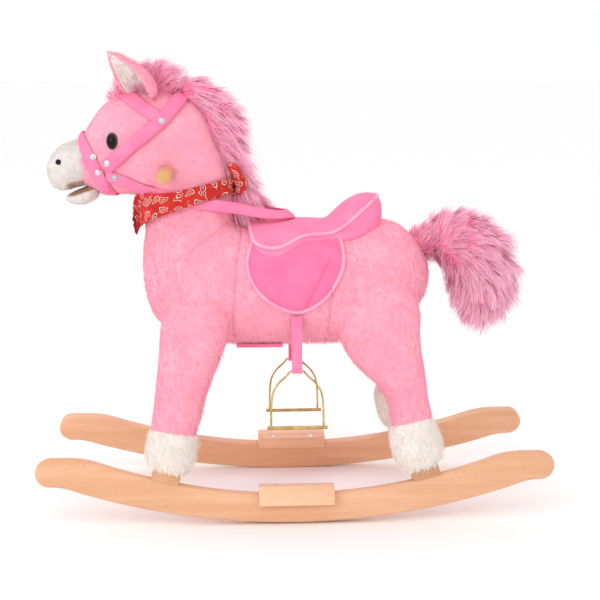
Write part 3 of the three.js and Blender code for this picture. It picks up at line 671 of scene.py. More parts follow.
def white_parts():
    muzzle = stuffed_part("muzzle", along_x(MUZZLE), "muzzle_plush", cap=0.0008, mouth=roof_of_mouth,
                          finish=MUZZLE_WHITE)
    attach(muzzle, "horse")
    jaw = stuffed_part("jaw", along_x(JAW), "jaw_plush", voxel=0.003, cap=0.0004, mouth=bed_of_mouth,
                       finish=MUZZLE_WHITE)
    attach(jaw, "jaw")
    hoof_shape = {
        "front": [
            (0.032, -0.022, 0.024, 0.023), (0.036, -0.031, 0.032, 0.030), (0.048, -0.036, 0.036, 0.034),
            (0.066, -0.037, 0.037, 0.035), (0.082, -0.035, 0.036, 0.034), (0.090, -0.032, 0.034, 0.031),
        ],
        "rear": [
            (0.032, -0.022, 0.020, 0.023), (0.036, -0.031, 0.029, 0.030), (0.050, -0.037, 0.036, 0.034),
            (0.074, -0.037, 0.037, 0.035), (0.095, -0.034, 0.034, 0.033), (0.102, -0.031, 0.031, 0.030),
        ],
    }
    hooves = []
    for key in LEGS:
        shape = hoof_shape[key.split("_")[0]]
        hoof = stuffed_part(f"hoof_plush_{key}", leg_rings(shape, leg_frame(key)), f"hoof_{key}")
        hooves.append(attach(hoof, "horse"))
    return muzzle, jaw, hooves


BODY = stuffed_body()
HEAD = stuffed_head()
MUZZLE_PIECE, JAW_PIECE, HOOVES = white_parts()


# ---- Wood ----
def grain_group():
    """Straight beech grain along one axis: broad bands, fine lines and short dark flecks."""
    nodes, inside, outside = shader_group(
        "Grain",
        [("Vector", "NodeSocketVector", None), ("Along", "NodeSocketVector", (1.0, 14.0, 14.0))],
        [("Bands", "NodeSocketFloat"), ("Flecks", "NodeSocketFloat"), ("Lines", "NodeSocketFloat")],
    )
    drawn = nodes.vector("MULTIPLY", inside.outputs["Vector"], inside.outputs["Along"])
    bands = nodes.noise(drawn, 3.2, 4.0, 0.6)
    lines = nodes.noise(drawn, 34.0, 3.0, 0.65)
    flecks = nodes.noise(nodes.vector("MULTIPLY", drawn, (3.0, 1.6, 1.6)), 42.0, 1.0)
    nodes.tree.links.new(nodes.between(bands, 0.3, 0.7), outside.inputs["Bands"])
    nodes.tree.links.new(nodes.between(flecks, 0.66, 0.74), outside.inputs["Flecks"])
    nodes.tree.links.new(lines, outside.inputs["Lines"])
    return nodes.tree


GRAIN = grain_group()


def wood(name, light, deep, along, end_at=None):
    """Beech along one axis; end_at is how far out along Y its sawn end grain shows."""
    made, nodes, shader = material(name, roughness=0.5, coat_weight=0.15, coat_roughness=0.35)
    place = nodes.add("ShaderNodeTexCoord").outputs["Object"]
    grain = nodes.group(GRAIN, Vector=place, Along=along)
    colour = nodes.mix(grain.outputs["Bands"], deep, light)
    fine = nodes.between(grain.outputs["Lines"], 0.35, 0.65, 0.0, 0.22)
    colour = nodes.mix(fine, colour, deep)
    colour = nodes.mix(nodes.math("MULTIPLY", grain.outputs["Flecks"], 0.45), colour, rgb(160, 104, 70))
    if end_at:
        out = nodes.math("ABSOLUTE", nodes.add("ShaderNodeSeparateXYZ", {0: place}).outputs[1])
        shifted = nodes.vector("ADD", place, (0.21, 0.0, -0.47))
        rings = nodes.add("ShaderNodeTexWave", {"Vector": shifted, "Scale": 130.0, "Distortion": 2.5},
                          wave_type="RINGS", rings_direction="Y").outputs["Fac"]
        sawn = nodes.mix(rings, rgb(196, 142, 84), rgb(222, 176, 112))
        colour = nodes.mix(nodes.between(out, end_at - 0.0008, end_at - 0.0002), colour, sawn)
    nodes.tree.links.new(colour, shader.inputs["Base Color"])
    rough = nodes.between(grain.outputs["Lines"], 0.3, 0.7, 0.42, 0.6)
    nodes.tree.links.new(rough, shader.inputs["Roughness"])
    bumped(nodes, shader, grain.outputs["Lines"], 0.12, 0.0006)
    return made


BEECH = wood("beech_long", rgb(236, 186, 148), rgb(222, 164, 124), (1.0, 14.0, 14.0))
BEECH_PALE = wood("beech_pale", rgb(244, 198, 162), rgb(232, 178, 140), (1.0, 14.0, 14.0))
BEECH_POST = wood("beech_upright", rgb(226, 172, 128), rgb(204, 146, 102), (14.0, 14.0, 1.0))
BEECH_CROSS = wood("beech_cross", rgb(224, 160, 118), rgb(204, 136, 96), (14.0, 1.0, 14.0), end_at=0.125)
ROUGH_WOOD = wood("sawn_softwood", rgb(214, 178, 134), rgb(190, 148, 104), (1.0, 9.0, 9.0))


def eased(node, name, edge, finish, body="horse"):
    """A part whose plain form is right: its sharp edges are rounded over and it gets its own finish."""
    form = bmesh.new()
    form.from_mesh(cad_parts[node].data)
    bmesh.ops.remove_doubles(form, verts=form.verts, dist=1e-5)
    bmesh.ops.dissolve_limit(form, angle_limit=0.01, verts=form.verts, edges=form.edges)
    mesh = bpy.data.meshes.new(name)
    form.to_mesh(mesh)
    form.free()
    piece = bpy.data.objects.new(name, mesh)
    SCENE.collection.objects.link(piece)
    if edge:
        bevel = piece.modifiers.new("Bevel", "BEVEL")
        bevel.width, bevel.segments = edge, 2
        bevel.limit_method, bevel.angle_limit = "ANGLE", math.radians(28)
    baked(piece)
    piece.data.materials.clear()
    piece.data.materials.append(finish)
    piece.data.shade_smooth()
    piece.data.set_sharp_from_angle(angle=math.radians(40))
    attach(piece, body)
    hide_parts(node)


def wooden_parts():
    for side in SIDES:
        eased(f"rocker_{side}", f"bowed_rocker_{side}", 0.0012, BEECH)
        eased(f"footrest_{side}", f"footrest_block_{side}", 0.0010, BEECH_PALE)
    for key in LEGS:
        eased(f"leg_post_{key}", f"post_{key}", 0.0008, BEECH_POST)
    eased("handle_dowel", "handle", 0.0012, BEECH_CROSS)
    for node in ("spine_board", "neck_post", "bolster_front", "bolster_rear"):
        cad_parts[node].data.materials.clear()
        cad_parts[node].data.materials.append(ROUGH_WOOD)


wooden_parts()


# ---- Fur ----
def fur_tree():
    """Hair as tapering ribbons: gathered into locks, lying along "lay" and drooping at the tip."""
    tree = bpy.data.node_groups.new("Fur", "GeometryNodeTree")
    sockets = {}
    for label, kind in (("Skin", "Geometry"), ("Density", "Float"), ("Length", "Float"), ("Width", "Float"),
                        ("Lift", "Float"), ("Droop", "Float"), ("Lock", "Float"), ("Gather", "Float"),
                        ("Stray", "Float"), ("Twist", "Float"), ("Steps", "Int"), ("Seed", "Int"),
                        ("Finish", "Material")):
        made = tree.interface.new_socket(label, in_out="INPUT", socket_type=f"NodeSocket{kind}")
        sockets[label] = made.identifier
    tree.interface.new_socket("Fur", in_out="OUTPUT", socket_type="NodeSocketGeometry")
    nodes = Nodes(tree)
    given = nodes.add("NodeGroupInput").outputs

    def keep(geometry, name, value, kind="FLOAT"):
        inputs = {"Geometry": geometry, "Name": name, "Value": value}
        return nodes.add("GeometryNodeStoreNamedAttribute", inputs, data_type=kind, domain="POINT").outputs[0]

    def kept(name, kind="FLOAT"):
        return nodes.add("GeometryNodeInputNamedAttribute", {"Name": name}, data_type=kind).outputs[0]

    def centred(vector, scale):
        shifted = nodes.vector("SUBTRACT", vector, (0.5, 0.5, 0.5))
        return nodes.vector("SCALE", shifted, scale=scale)

    spots = nodes.add("GeometryNodeDistributePointsOnFaces",
                      {"Mesh": given["Skin"], "Density": given["Density"], "Seed": given["Seed"]})
    place = nodes.add("GeometryNodeInputPosition").outputs[0]
    points = keep(spots.outputs["Points"], "root", place, "FLOAT_VECTOR")
    points = keep(points, "out", spots.outputs["Normal"], "FLOAT_VECTOR")
    ribbon = nodes.add("GeometryNodeMeshGrid", {"Size X": 1.0, "Size Y": 1.0, "Vertices X": 2,
                                                "Vertices Y": given["Steps"]})
    local = nodes.add("ShaderNodeSeparateXYZ", {0: place}).outputs
    blade = keep(ribbon.outputs["Mesh"], "across", local[0])
    blade = keep(blade, "along", nodes.math("ADD", local[1], 0.5))
    placed = nodes.add("GeometryNodeInstanceOnPoints", {"Points": points, "Instance": blade}).outputs[0]
    real = nodes.add("GeometryNodeRealizeInstances", {0: placed}).outputs[0]

    root, out, lay = (kept(name, "FLOAT_VECTOR") for name in ("root", "out", "lay"))
    along, across = kept("along"), kept("across")
    often = nodes.math("DIVIDE", 1.0, given["Lock"])
    cell = nodes.add("ShaderNodeTexVoronoi", {"Vector": root, "Scale": often})
    lock_place = cell.outputs["Position"]
    lock_luck = nodes.add("ShaderNodeTexWhiteNoise", {"Vector": lock_place}).outputs
    hair_luck = nodes.add("ShaderNodeTexWhiteNoise", {"Vector": root}).outputs

    raised = nodes.vector("SCALE", out, scale=given["Lift"])
    laid = nodes.vector("SCALE", lay, scale=nodes.math("SUBTRACT", 1.0, given["Lift"]))
    aim = nodes.vector("ADD", raised, laid)
    aim = nodes.vector("ADD", aim, centred(lock_luck["Color"], given["Stray"]))
    aim = nodes.vector("ADD", aim, centred(hair_luck["Color"], nodes.math("MULTIPLY", given["Stray"], 0.55)))
    aim = nodes.vector("NORMALIZE", aim)
    tall = nodes.math("MULTIPLY", given["Length"], nodes.math("MULTIPLY_ADD", hair_luck["Value"], 0.55, 0.55))
    tall = nodes.math("MULTIPLY", tall, nodes.math("MULTIPLY_ADD", lock_luck["Value"], 0.6, 0.7))
    reach = nodes.vector("SCALE", aim, scale=nodes.math("MULTIPLY", tall, along))
    bent = nodes.math("MULTIPLY", nodes.math("MULTIPLY", along, along), tall)
    fall = nodes.add("ShaderNodeCombineXYZ", {0: 0.0, 1: 0.0, 2: nodes.math("MULTIPLY", bent, nodes.math(
        "MULTIPLY", given["Droop"], -1.0))}).outputs[0]
    drawn = nodes.vector("SUBTRACT", lock_place, root)
    drawn = nodes.vector("SCALE", drawn, scale=nodes.math("MULTIPLY", nodes.math("POWER", along, 1.3),
                                                          given["Gather"]))
    wave = nodes.math("SINE", nodes.math("MULTIPLY", along, 4.2))
    wave = nodes.math("MULTIPLY", wave, nodes.math("MULTIPLY", bent, 0.35))
    curl = nodes.vector("SCALE", centred(lock_luck["Color"], 1.0), scale=wave)
    line = nodes.vector("ADD", nodes.vector("ADD", root, reach), nodes.vector("ADD", fall, drawn))
    line = nodes.vector("ADD", line, curl)
    facing = nodes.vector("ADD", out, centred(hair_luck["Color"], given["Twist"]))
    side = nodes.vector("NORMALIZE", nodes.vector("CROSS_PRODUCT", aim, facing))
    taper = nodes.math("MULTIPLY_ADD", nodes.math("POWER", along, 2.0), -0.85, 1.0)
    wide = nodes.math("MULTIPLY", nodes.math("MULTIPLY", given["Width"], taper), across)
    line = nodes.vector("ADD", line, nodes.vector("SCALE", side, scale=wide))
    shaped = nodes.add("GeometryNodeSetPosition", {"Geometry": real, "Position": line}).outputs[0]
    luck = nodes.math("MULTIPLY", hair_luck["Value"], 0.35)
    luck = nodes.math("MULTIPLY_ADD", lock_luck["Value"], 0.65, luck)
    tinted = keep(shaped, "tint", luck)
    done = nodes.add("GeometryNodeSetMaterial", {"Geometry": tinted, "Material": given["Finish"]}).outputs[0]
    nodes.add("NodeGroupOutput", {0: done})
    return tree, sockets


FUR, FUR_SOCKETS = fur_tree()


def grown(skin, name, body, slot, **values):
    """Hair on a skin, as a piece of its own."""
    hair = bpy.data.objects.new(name, skin.data.copy())
    SCENE.collection.objects.link(hair)
    modifier = hair.modifiers.new("Fur", "NODES")
    modifier.node_group = FUR
    for label, value in values.items():
        modifier[FUR_SOCKETS[label]] = value
    baked(hair)
    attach(hair, body)


def nap(skin, name, body, slot, finish, **changes):
    """The short pile of a plush skin, with what it doesn't share with the others."""
    shared = {"Width": 0.0008, "Lift": 0.3, "Droop": 0.2, "Lock": 0.005, "Gather": 0.2, "Stray": 0.6,
              "Twist": 0.5, "Steps": 2, "Finish": finish}
    grown(skin, name, body, slot, **{**shared, **changes})


def mop(skin, name, body, **values):
    """Long hair, in curling locks."""
    grown(skin, name, body, "long_fur", Twist=1.0, Steps=7, Finish=LONG_HAIR, **values)


def hair_finish(name, *tones):
    """Hair with darker and lighter locks, deeper at its root as painted shade in the fur's depth, and pale
    tips, partly their own colour and partly a painted rim of light.
    """
    root, dark, light, tip = (rgb(*tone) for tone in tones)
    made, nodes, shader = material(name, roughness=0.6, specular_ior_level=0.2, sheen_weight=0.35)
    shader.inputs["Sheen Tint"].default_value = tip
    along = nodes.add("ShaderNodeAttribute", attribute_name="along").outputs["Fac"]
    tint = nodes.add("ShaderNodeAttribute", attribute_name="tint").outputs["Fac"]
    place = nodes.add("ShaderNodeTexCoord").outputs["Object"]
    patches = nodes.math("MULTIPLY", nodes.noise(place, 70.0), 0.3)
    lock = nodes.mix(nodes.between(nodes.math("ADD", tint, patches), 0.25, 1.0), dark, light)
    # Painted shade: deeper towards the root.
    colour = nodes.mix(nodes.between(along, 0.0, 0.45), root, lock)
    # Pale tips: partly their own colour, partly a painted rim of light.
    colour = nodes.mix(nodes.between(along, 0.6, 1.0, 0.0, 0.6), colour, tip)
    nodes.tree.links.new(colour, shader.inputs["Base Color"])
    return made


# Tones: root (painted shade), darker lock, lighter lock, tip (partly a painted rim of light).
LONG_HAIR = hair_finish("long_fur", (255, 150, 190), (255, 168, 202), (255, 192, 217), (255, 224, 236))
LINING_PLUSH = plush("lining_plush", rgb(255, 250, 246), rgb(246, 240, 234), rgb(214, 202, 192), 0.3)
PINK_NAP = hair_finish("pink_nap", (248, 156, 180), (251, 164, 186), (253, 182, 202), (254, 194, 210))
WHITE_NAP = hair_finish("white_nap", (234, 222, 214), (239, 229, 221), (246, 238, 231), (252, 246, 241))
MUZZLE_NAP = hair_finish("muzzle_nap", (212, 202, 198), (218, 209, 206), (230, 223, 220), (238, 233, 231))


def flowing(skin, lay):
    """Stores which way the hair lies, as a direction along the skin at each of its points."""
    normal = normals_of(skin)
    lay = np.broadcast_to(np.asarray(lay, float), normal.shape)
    lay = lay - normal * (lay * normal).sum(1, keepdims=True) * 0.9
    lay = lay / np.maximum(np.linalg.norm(lay, axis=1, keepdims=True), 1e-6)
    store(skin, "lay", lay, "FLOAT_VECTOR")


def short_pile():
    """The plush nap on every stuffed part: it lies back and down."""
    flowing(BODY, (0.25, 0.0, -1.0))
    nap(BODY, "body_nap", "horse", "pink_plush", PINK_NAP, Density=120000.0, Length=0.0065, Width=0.0009,
        Droop=0.25, Lock=0.006, Gather=0.25, Stray=0.55, Seed=3)
    flowing(HEAD, (0.9, 0.0, -0.35))
    nap(HEAD, "head_nap", "horse", "pink_plush", PINK_NAP, Density=170000.0, Length=0.0045, Lift=0.25,
        Stray=0.5, Seed=5)
    flowing(MUZZLE_PIECE, (0.9, 0.0, 0.25))
    flowing(JAW_PIECE, (0.9, 0.0, 0.0))
    for skin, body in ((MUZZLE_PIECE, "horse"), (JAW_PIECE, "jaw")):
        nap(skin, f"{skin.name}_nap", body, "white_plush", MUZZLE_NAP, Density=230000.0, Length=0.0035,
            Width=0.0007, Seed=7)
    for hoof in HOOVES:
        flowing(hoof, (0.0, 0.0, -1.0))
        nap(hoof, f"{hoof.name}_nap", "horse", "white_plush", WHITE_NAP, Density=190000.0, Length=0.006,
            Droop=0.3, Lock=0.006, Gather=0.3, Twist=0.6, Steps=3, Seed=9)


def undercoat(node, name, body, shrink, sink=(0, 0, 0)):
    """The dense fur under the long hair, softened from the plain form of the part and sunk to its root."""
    forms = []
    for share in (0.0, 0.5, 1.0) if any(sink) else (0.0,):
        form = bpy.data.objects.new(name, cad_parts[node].data.copy())
        form.data.transform(Matrix.Translation(Vector(sink) * share))
        SCENE.collection.objects.link(form)
        forms.append(form)
    skin = joined(name, forms)
    skin.data.materials.clear()
    fused(skin, 0.004, 14)
    set_points(skin, points_of(skin) - normals_of(skin) * shrink)
    skin.data.materials.append(LONG_HAIR)
    count = len(skin.data.vertices)
    # The undercoat takes the hair's root tone: painted shade under the long hair.
    store(skin, "along", np.full(count, 0.12))
    store(skin, "tint", np.full(count, 0.3))
    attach(skin, body)
    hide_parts(node)
    return skin


def long_fur():
    """Mane, forelock and tail; turn is how steeply the hair rises towards the tail, in radians."""
    mane = undercoat("mane", "mane_undercoat", "horse", 0.006, (-0.007, 0, -0.005))
    points, out = points_of(mane), normals_of(mane)[:, 0].clip(0, 1)
    points[:, 0] -= np.interp(points[:, 2], [0.44, 0.49, 0.53, 0.57], [0.0, 0.006, 0.006, 0.0]) * out
    points[:, 2] -= np.interp(points[:, 2], [0.57, 0.61], [0.0, 0.006])
    set_points(mane, points)
    z = points[:, 2]
    turn = np.interp(z, [0.43, 0.50, 0.56, 0.61, 0.64], [-1.15, -0.75, -0.35, 0.25, 0.75])
    flowing(mane, np.stack([np.cos(turn), np.zeros_like(turn), np.sin(turn)], 1))
    mop(mane, "mane_hair", "horse", Density=240000.0, Length=0.029, Width=0.0010, Lift=0.34, Droop=0.3,
        Lock=0.010, Gather=0.7, Stray=0.8, Seed=11)
    forelock = undercoat("forelock", "forelock_undercoat", "horse", 0.004, (0, 0, -0.014))
    points = points_of(forelock)
    points[:, 2] -= np.interp(points[:, 0], [-0.262, -0.232], [0.016, 0.0])
    set_points(forelock, points)
    turn = np.interp(points[:, 0], [-0.26, -0.235, -0.2, -0.16], [2.2, 1.8, 1.2, 0.8])
    flowing(forelock, np.stack([np.cos(turn), np.zeros_like(turn), np.sin(turn)], 1))
    mop(forelock, "forelock_hair", "horse", Density=240000.0, Length=0.028, Width=0.0010, Lift=0.38,
        Droop=0.15, Lock=0.009, Gather=0.7, Stray=0.8, Seed=13)
    tail = undercoat("tail", "tail_undercoat", "tail", 0.006)
    x, _, z = points_of(tail).T
    out = normals_of(tail)
    inner = np.clip(-out[:, 0] - out[:, 2] * 0.6, 0, 1) * np.clip((0.37 - z) / 0.04, 0, 1)
    turn = np.interp(x - 0.35 * (z - 0.38), [0.20, 0.225, 0.245, 0.27, 0.31], [1.25, 0.75, 0.1, -0.6, -1.35])
    turn = turn * (1 - inner) - 2.35 * inner
    flowing(tail, np.stack([np.cos(turn), np.zeros_like(x), np.sin(turn)], 1))
    mop(tail, "tail_hair", "tail", Density=260000.0, Length=0.030, Width=0.0011, Lift=0.42, Droop=0.15,
        Lock=0.012, Gather=0.75, Stray=0.7, Seed=17)


short_pile()
long_fur()


# ---- Cloth finishes ----
def fibre_group():
    """Felted cloth: soft clouds, short crossing fibres, and a stitch line a little inside the edge."""
    nodes, inside, outside = shader_group(
        "Fibres",
        [("Vector", "NodeSocketVector", None), ("Edge", "NodeSocketVector", None)],
        [("Clouds", "NodeSocketFloat"), ("Height", "NodeSocketFloat"), ("Stitch", "NodeSocketFloat")],
    )
    vector = inside.outputs["Vector"]
    clouds = nodes.between(nodes.noise(vector, 38.0, 3.0), 0.3, 0.7)
    one = nodes.noise(nodes.vector("MULTIPLY", vector, (1.0, 1.0, 4.0)), 520.0, 2.0, 0.7)
    other = nodes.noise(nodes.vector("MULTIPLY", vector, (4.0, 1.0, 1.0)), 520.0, 2.0, 0.7)
    run, _, rim = nodes.add("ShaderNodeSeparateXYZ", {0: inside.outputs["Edge"]}).outputs
    off = nodes.math("ABSOLUTE", nodes.math("SUBTRACT", rim, 0.0019))
    line = nodes.between(off, 0.0003, 0.0006, 1.0, 0.0)
    dash = nodes.math("FRACT", nodes.math("MULTIPLY", run, 310.0))
    dash = nodes.between(nodes.math("ABSOLUTE", nodes.math("SUBTRACT", dash, 0.5)), 0.28, 0.38, 1.0, 0.0)
    stitch = nodes.math("MULTIPLY", line, dash)
    height = nodes.math("ADD", nodes.math("ADD", one, other), nodes.math("MULTIPLY", stitch, 1.2))
    nodes.tree.links.new(clouds, outside.inputs["Clouds"])
    nodes.tree.links.new(height, outside.inputs["Height"])
    nodes.tree.links.new(stitch, outside.inputs["Stitch"])
    return nodes.tree


FIBRES = fibre_group()


def felt(name, light, deep, thread_and_shade, bump=0.3, sheen=0.25):
    made, nodes, shader = material(name, roughness=0.9, specular_ior_level=0.2, sheen_weight=sheen,
                                   sheen_roughness=0.5)
    shader.inputs["Sheen Tint"].default_value = light
    place = nodes.add("ShaderNodeTexCoord").outputs["Object"]
    flat = nodes.add("ShaderNodeAttribute", attribute_name="flat").outputs["Vector"]
    seam = nodes.add("ShaderNodeAttribute", attribute_name="seam").outputs["Fac"]
    cloth = nodes.group(FIBRES, Vector=place, Edge=flat)
    colour = nodes.mix(cloth.outputs["Clouds"], deep, light)
    colour = nodes.mix(nodes.math("MULTIPLY", cloth.outputs["Stitch"], 0.6), colour, thread_and_shade)
    # Painted shade in seams, creases and along the piping, in the thread's colour.
    colour = nodes.mix(nodes.math("MULTIPLY", seam, 0.5), colour, thread_and_shade)
    nodes.tree.links.new(colour, shader.inputs["Base Color"])
    bumped(nodes, shader, cloth.outputs["Height"], bump, 0.0008)
    return made


STRAP_FELT = felt("strap_felt", rgb(253, 140, 178), rgb(249, 126, 168), rgb(216, 88, 138))
SEAT_CLOTH = felt("seat_cloth", rgb(252, 142, 180), rgb(248, 132, 172), rgb(220, 98, 144), 0.16, 0.12)
FLAP_CLOTH = felt("flap_cloth", rgb(252, 126, 168), rgb(248, 116, 160), rgb(216, 88, 134), 0.16, 0.12)
PIPING_CLOTH = felt("piping_cloth", rgb(252, 178, 204), rgb(244, 160, 192), rgb(226, 120, 160), 0.3)


def teardrop_group():
    """A generic printed figure: scattered teardrops with an outline, a dark core and dots between."""
    nodes, inside, outside = shader_group(
        "Teardrops",
        [("Vector", "NodeSocketVector", None), ("Size", "NodeSocketFloat", 0.02)],
        [("Outline", "NodeSocketFloat"), ("Core", "NodeSocketFloat"), ("Dots", "NodeSocketFloat")],
    )
    flat = nodes.vector("MULTIPLY", inside.outputs["Vector"], (1.0, 1.0, 0.0))
    often = nodes.math("DIVIDE", 1.0, inside.outputs["Size"])
    cell = nodes.add("ShaderNodeTexVoronoi", {"Vector": flat, "Scale": often, "Randomness": 0.65})
    luck = nodes.add("ShaderNodeSeparateXYZ", {0: cell.outputs["Color"]}).outputs
    local = nodes.vector("SUBTRACT", flat, cell.outputs["Position"])
    turned = nodes.add("ShaderNodeVectorRotate", {"Vector": local, "Angle": nodes.math(
        "MULTIPLY", luck[0], math.tau)}, rotation_type="Z_AXIS").outputs[0]
    drop = nodes.vector("SCALE", turned, scale=nodes.math("MULTIPLY", often, 2.2))
    x, y, _ = nodes.add("ShaderNodeSeparateXYZ", {0: drop}).outputs
    bowed = nodes.math("SUBTRACT", y, nodes.math("MULTIPLY", nodes.math("MULTIPLY", x, x), 0.35))
    pinched = nodes.math("MULTIPLY", bowed, nodes.math("MULTIPLY_ADD", x, 0.9, 1.9))
    reach = nodes.math("SQRT", nodes.math("ADD", nodes.math("MULTIPLY", x, x),
                                          nodes.math("MULTIPLY", pinched, pinched)))
    outline = nodes.between(nodes.math("ABSOLUTE", nodes.math("SUBTRACT", reach, 0.80)), 0.04, 0.10, 1.0, 0.0)
    inner = nodes.between(nodes.math("ABSOLUTE", nodes.math("SUBTRACT", reach, 0.34)), 0.02, 0.07, 1.0, 0.0)
    core = nodes.between(nodes.math("ABSOLUTE", nodes.math("SUBTRACT", reach, 0.60)), 0.04, 0.11, 1.0, 0.0)
    small = nodes.add("ShaderNodeTexVoronoi", {"Vector": flat, "Scale": nodes.math("MULTIPLY", often, 3.1)})
    dots = nodes.between(small.outputs["Distance"], 0.12, 0.2, 1.0, 0.0)
    dots = nodes.math("MULTIPLY", dots, nodes.between(reach, 0.95, 1.05))
    nodes.tree.links.new(nodes.math("MAXIMUM", outline, inner), outside.inputs["Outline"])
    nodes.tree.links.new(core, outside.inputs["Core"])
    nodes.tree.links.new(dots, outside.inputs["Dots"])
    return nodes.tree


TEARDROPS = teardrop_group()


def printed_cotton():
    made, nodes, shader = material("red_printed_cotton", roughness=0.85, specular_ior_level=0.25)
    flat = nodes.add("ShaderNodeAttribute", attribute_name="flat").outputs["Vector"]
    place = nodes.add("ShaderNodeTexCoord").outputs["Object"]
    print_ = nodes.group(TEARDROPS, Vector=flat, Size=0.0175)
    colour = nodes.mix(nodes.between(nodes.noise(place, 30.0), 0.3, 0.7), rgb(186, 38, 36), rgb(214, 52, 44))
    colour = nodes.mix(nodes.math("MULTIPLY", print_.outputs["Core"], 0.85), colour, rgb(56, 20, 24))
    colour = nodes.mix(nodes.math("MULTIPLY", print_.outputs["Dots"], 0.7), colour, rgb(236, 196, 184))
    colour = nodes.mix(nodes.math("MULTIPLY", print_.outputs["Outline"], 0.95), colour, rgb(246, 226, 216))
    nodes.tree.links.new(colour, shader.inputs["Base Color"])
    threads = {"Vector": flat, "Scale": 260.0}
    warp, weft = (nodes.add("ShaderNodeTexWave", threads, bands_direction=way).outputs["Fac"] for way in "XY")
    bumped(nodes, shader, nodes.math("ADD", warp, weft), 0.2, 0.0004)
    return made


PRINTED_COTTON = printed_cotton()


# ---- Hard finishes ----
def metal(name, bright, dull, roughness):
    made, nodes, shader = material(name, metallic=1.0)
    place = nodes.add("ShaderNodeTexCoord").outputs["Object"]
    cloud = nodes.between(nodes.noise(place, 90.0, 4.0), 0.3, 0.7)
    nodes.tree.links.new(nodes.mix(cloud, dull, bright), shader.inputs["Base Color"])
    scratch = nodes.noise(nodes.vector("MULTIPLY", place, (1.0, 1.0, 9.0)), 400.0, 2.0)
    rough = nodes.math("ADD", nodes.between(scratch, 0.3, 0.7, 0.0, 0.14), roughness)
    nodes.tree.links.new(rough, shader.inputs["Roughness"])
    bumped(nodes, shader, scratch, 0.05, 0.0002)
    return made


def moulded(name, light, deep, roughness, coat):
    made, nodes, shader = material(name, coat_weight=coat, coat_roughness=0.05)
    place = nodes.add("ShaderNodeTexCoord").outputs["Object"]
    nodes.tree.links.new(nodes.mix(nodes.noise(place, 60.0), deep, light), shader.inputs["Base Color"])
    grit = nodes.noise(place, 700.0, 2.0)
    nodes.tree.links.new(nodes.math("ADD", nodes.between(grit, 0.3, 0.7, 0.0, 0.06), roughness),
                         shader.inputs["Roughness"])
    bumped(nodes, shader, grit, 0.03, 0.0002)
    return made


BRASS_WIRE = metal("brass_wire_bright", rgb(214, 190, 128), rgb(180, 152, 92), 0.24)
NICKEL = metal("nickel_bright", rgb(222, 222, 228), rgb(176, 178, 186), 0.2)
STEEL = metal("zinc_steel", rgb(206, 206, 208), rgb(160, 162, 166), 0.3)
EYE_BLACK = moulded("eye_black", rgb(18, 12, 12), rgb(6, 4, 5), 0.03, 0.0)
EYE_BLACK.node_tree.nodes["Principled BSDF"].inputs["Specular IOR Level"].default_value = 0.2
EYE_RIM = moulded("eye_rim_black", rgb(60, 34, 38), rgb(30, 16, 20), 0.4, 0.1)
BLACK_THREAD = felt("black_thread", rgb(44, 40, 42), rgb(16, 14, 16), rgb(60, 56, 58))
UNIT_PLASTIC = moulded("unit_plastic", rgb(236, 236, 230), rgb(220, 220, 214), 0.45, 0.0)


# ---- Bridle ----
def skin_of(*pieces):
    """One surface over several pieces, to lay straps and cloth on."""
    points, faces, start = [], [], 0
    for piece in pieces:
        points += [v.co.copy() for v in piece.data.vertices]
        faces += [[i + start for i in f.vertices] for f in piece.data.polygons]
        start = len(points)
    return BVHTree.FromPolygons(points, faces)


HORSE_SKIN = skin_of(BODY, HEAD, MUZZLE_PIECE)
HEAD_SKIN = skin_of(HEAD, MUZZLE_PIECE)


def settled(rows, times, closed=False):
    """Rows of (point, normal) eased along their length, as stiff cloth bridges small dents."""
    grid = np.array([[[*p, *n] for p, n in row] for row in rows])
    for _ in range(times):
        before, after = np.roll(grid, 1, 0), np.roll(grid, -1, 0)
        if not closed:
            before[0], after[-1] = grid[0], grid[-1]
        grid = (before + grid * 2 + after) / 4
    return [[(Vector(c[:3]), Vector(c[3:]).normalized()) for c in row] for row in grid]


def laid_row(skin, origins, aim, fallback):
    """Where rays along aim meet the skin; a ray that misses takes its place from the row before."""
    row = []
    for k, origin in enumerate(origins):
        point, normal, _, _ = skin.ray_cast(Vector(origin), Vector(aim))
        row.append((point, normal) if point else fallback[k])
    return row


def side_rows(path, width, sign, count=40):
    """A strap that runs along the horse's side, given by its (x, z) line."""
    line = smooth_curve(path, count)
    ahead = np.gradient(line, axis=0)
    ahead /= np.linalg.norm(ahead, axis=1)[:, None]
    rows = []
    for (x, z), (dx, dz) in zip(line, ahead):
        steps = [(k / (STRAP_POINTS - 1) - 0.5) * width for k in range(STRAP_POINTS)]
        origins = [(x - dz * s, sign * 0.3, z + dx * s) for s in steps]
        rows.append(laid_row(HORSE_SKIN, origins, (0, -sign, 0), rows[-1] if rows else None))
    return settled(rows, 4)


def arch_rows(foot, top, start, end, count=60, closed=False, narrow=0.0):
    """A strap over the head, in the slanting plane through two (x, z) points, narrower at its top."""
    rise = (Vector((top[0], 0, top[1])) - Vector((foot[0], 0, foot[1]))).normalized()
    wide = Vector((-rise.z, 0, rise.x))
    rows = []
    for i in range(count):
        turn = start + (end - start) * i / (count if closed else count - 1)
        aim = rise * math.cos(turn) + Vector((0, 1, 0)) * math.sin(turn)
        drawn_in = 1 - narrow * max(math.cos(turn), 0) ** 3
        steps = [(k / (STRAP_POINTS - 1) - 0.5) * STRAP_WIDE * drawn_in for k in range(STRAP_POINTS)]
        origins = [Vector((foot[0], 0, foot[1])) + wide * s + aim * 0.3 for s in steps]
        rows.append(laid_row(HEAD_SKIN, origins, -aim, rows[-1] if rows else None))
    return settled(rows, 4, closed)


def tack(piece, body, nodes, finish=STRAP_FELT):
    """Finishes a piece: its cloth, the body it moves with and the parts it stands for."""
    piece.data.materials.append(finish)
    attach(piece, body)
    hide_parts(*nodes)
    return piece


CHEEK = ((-0.262, 0.503), (-0.183, 0.567))


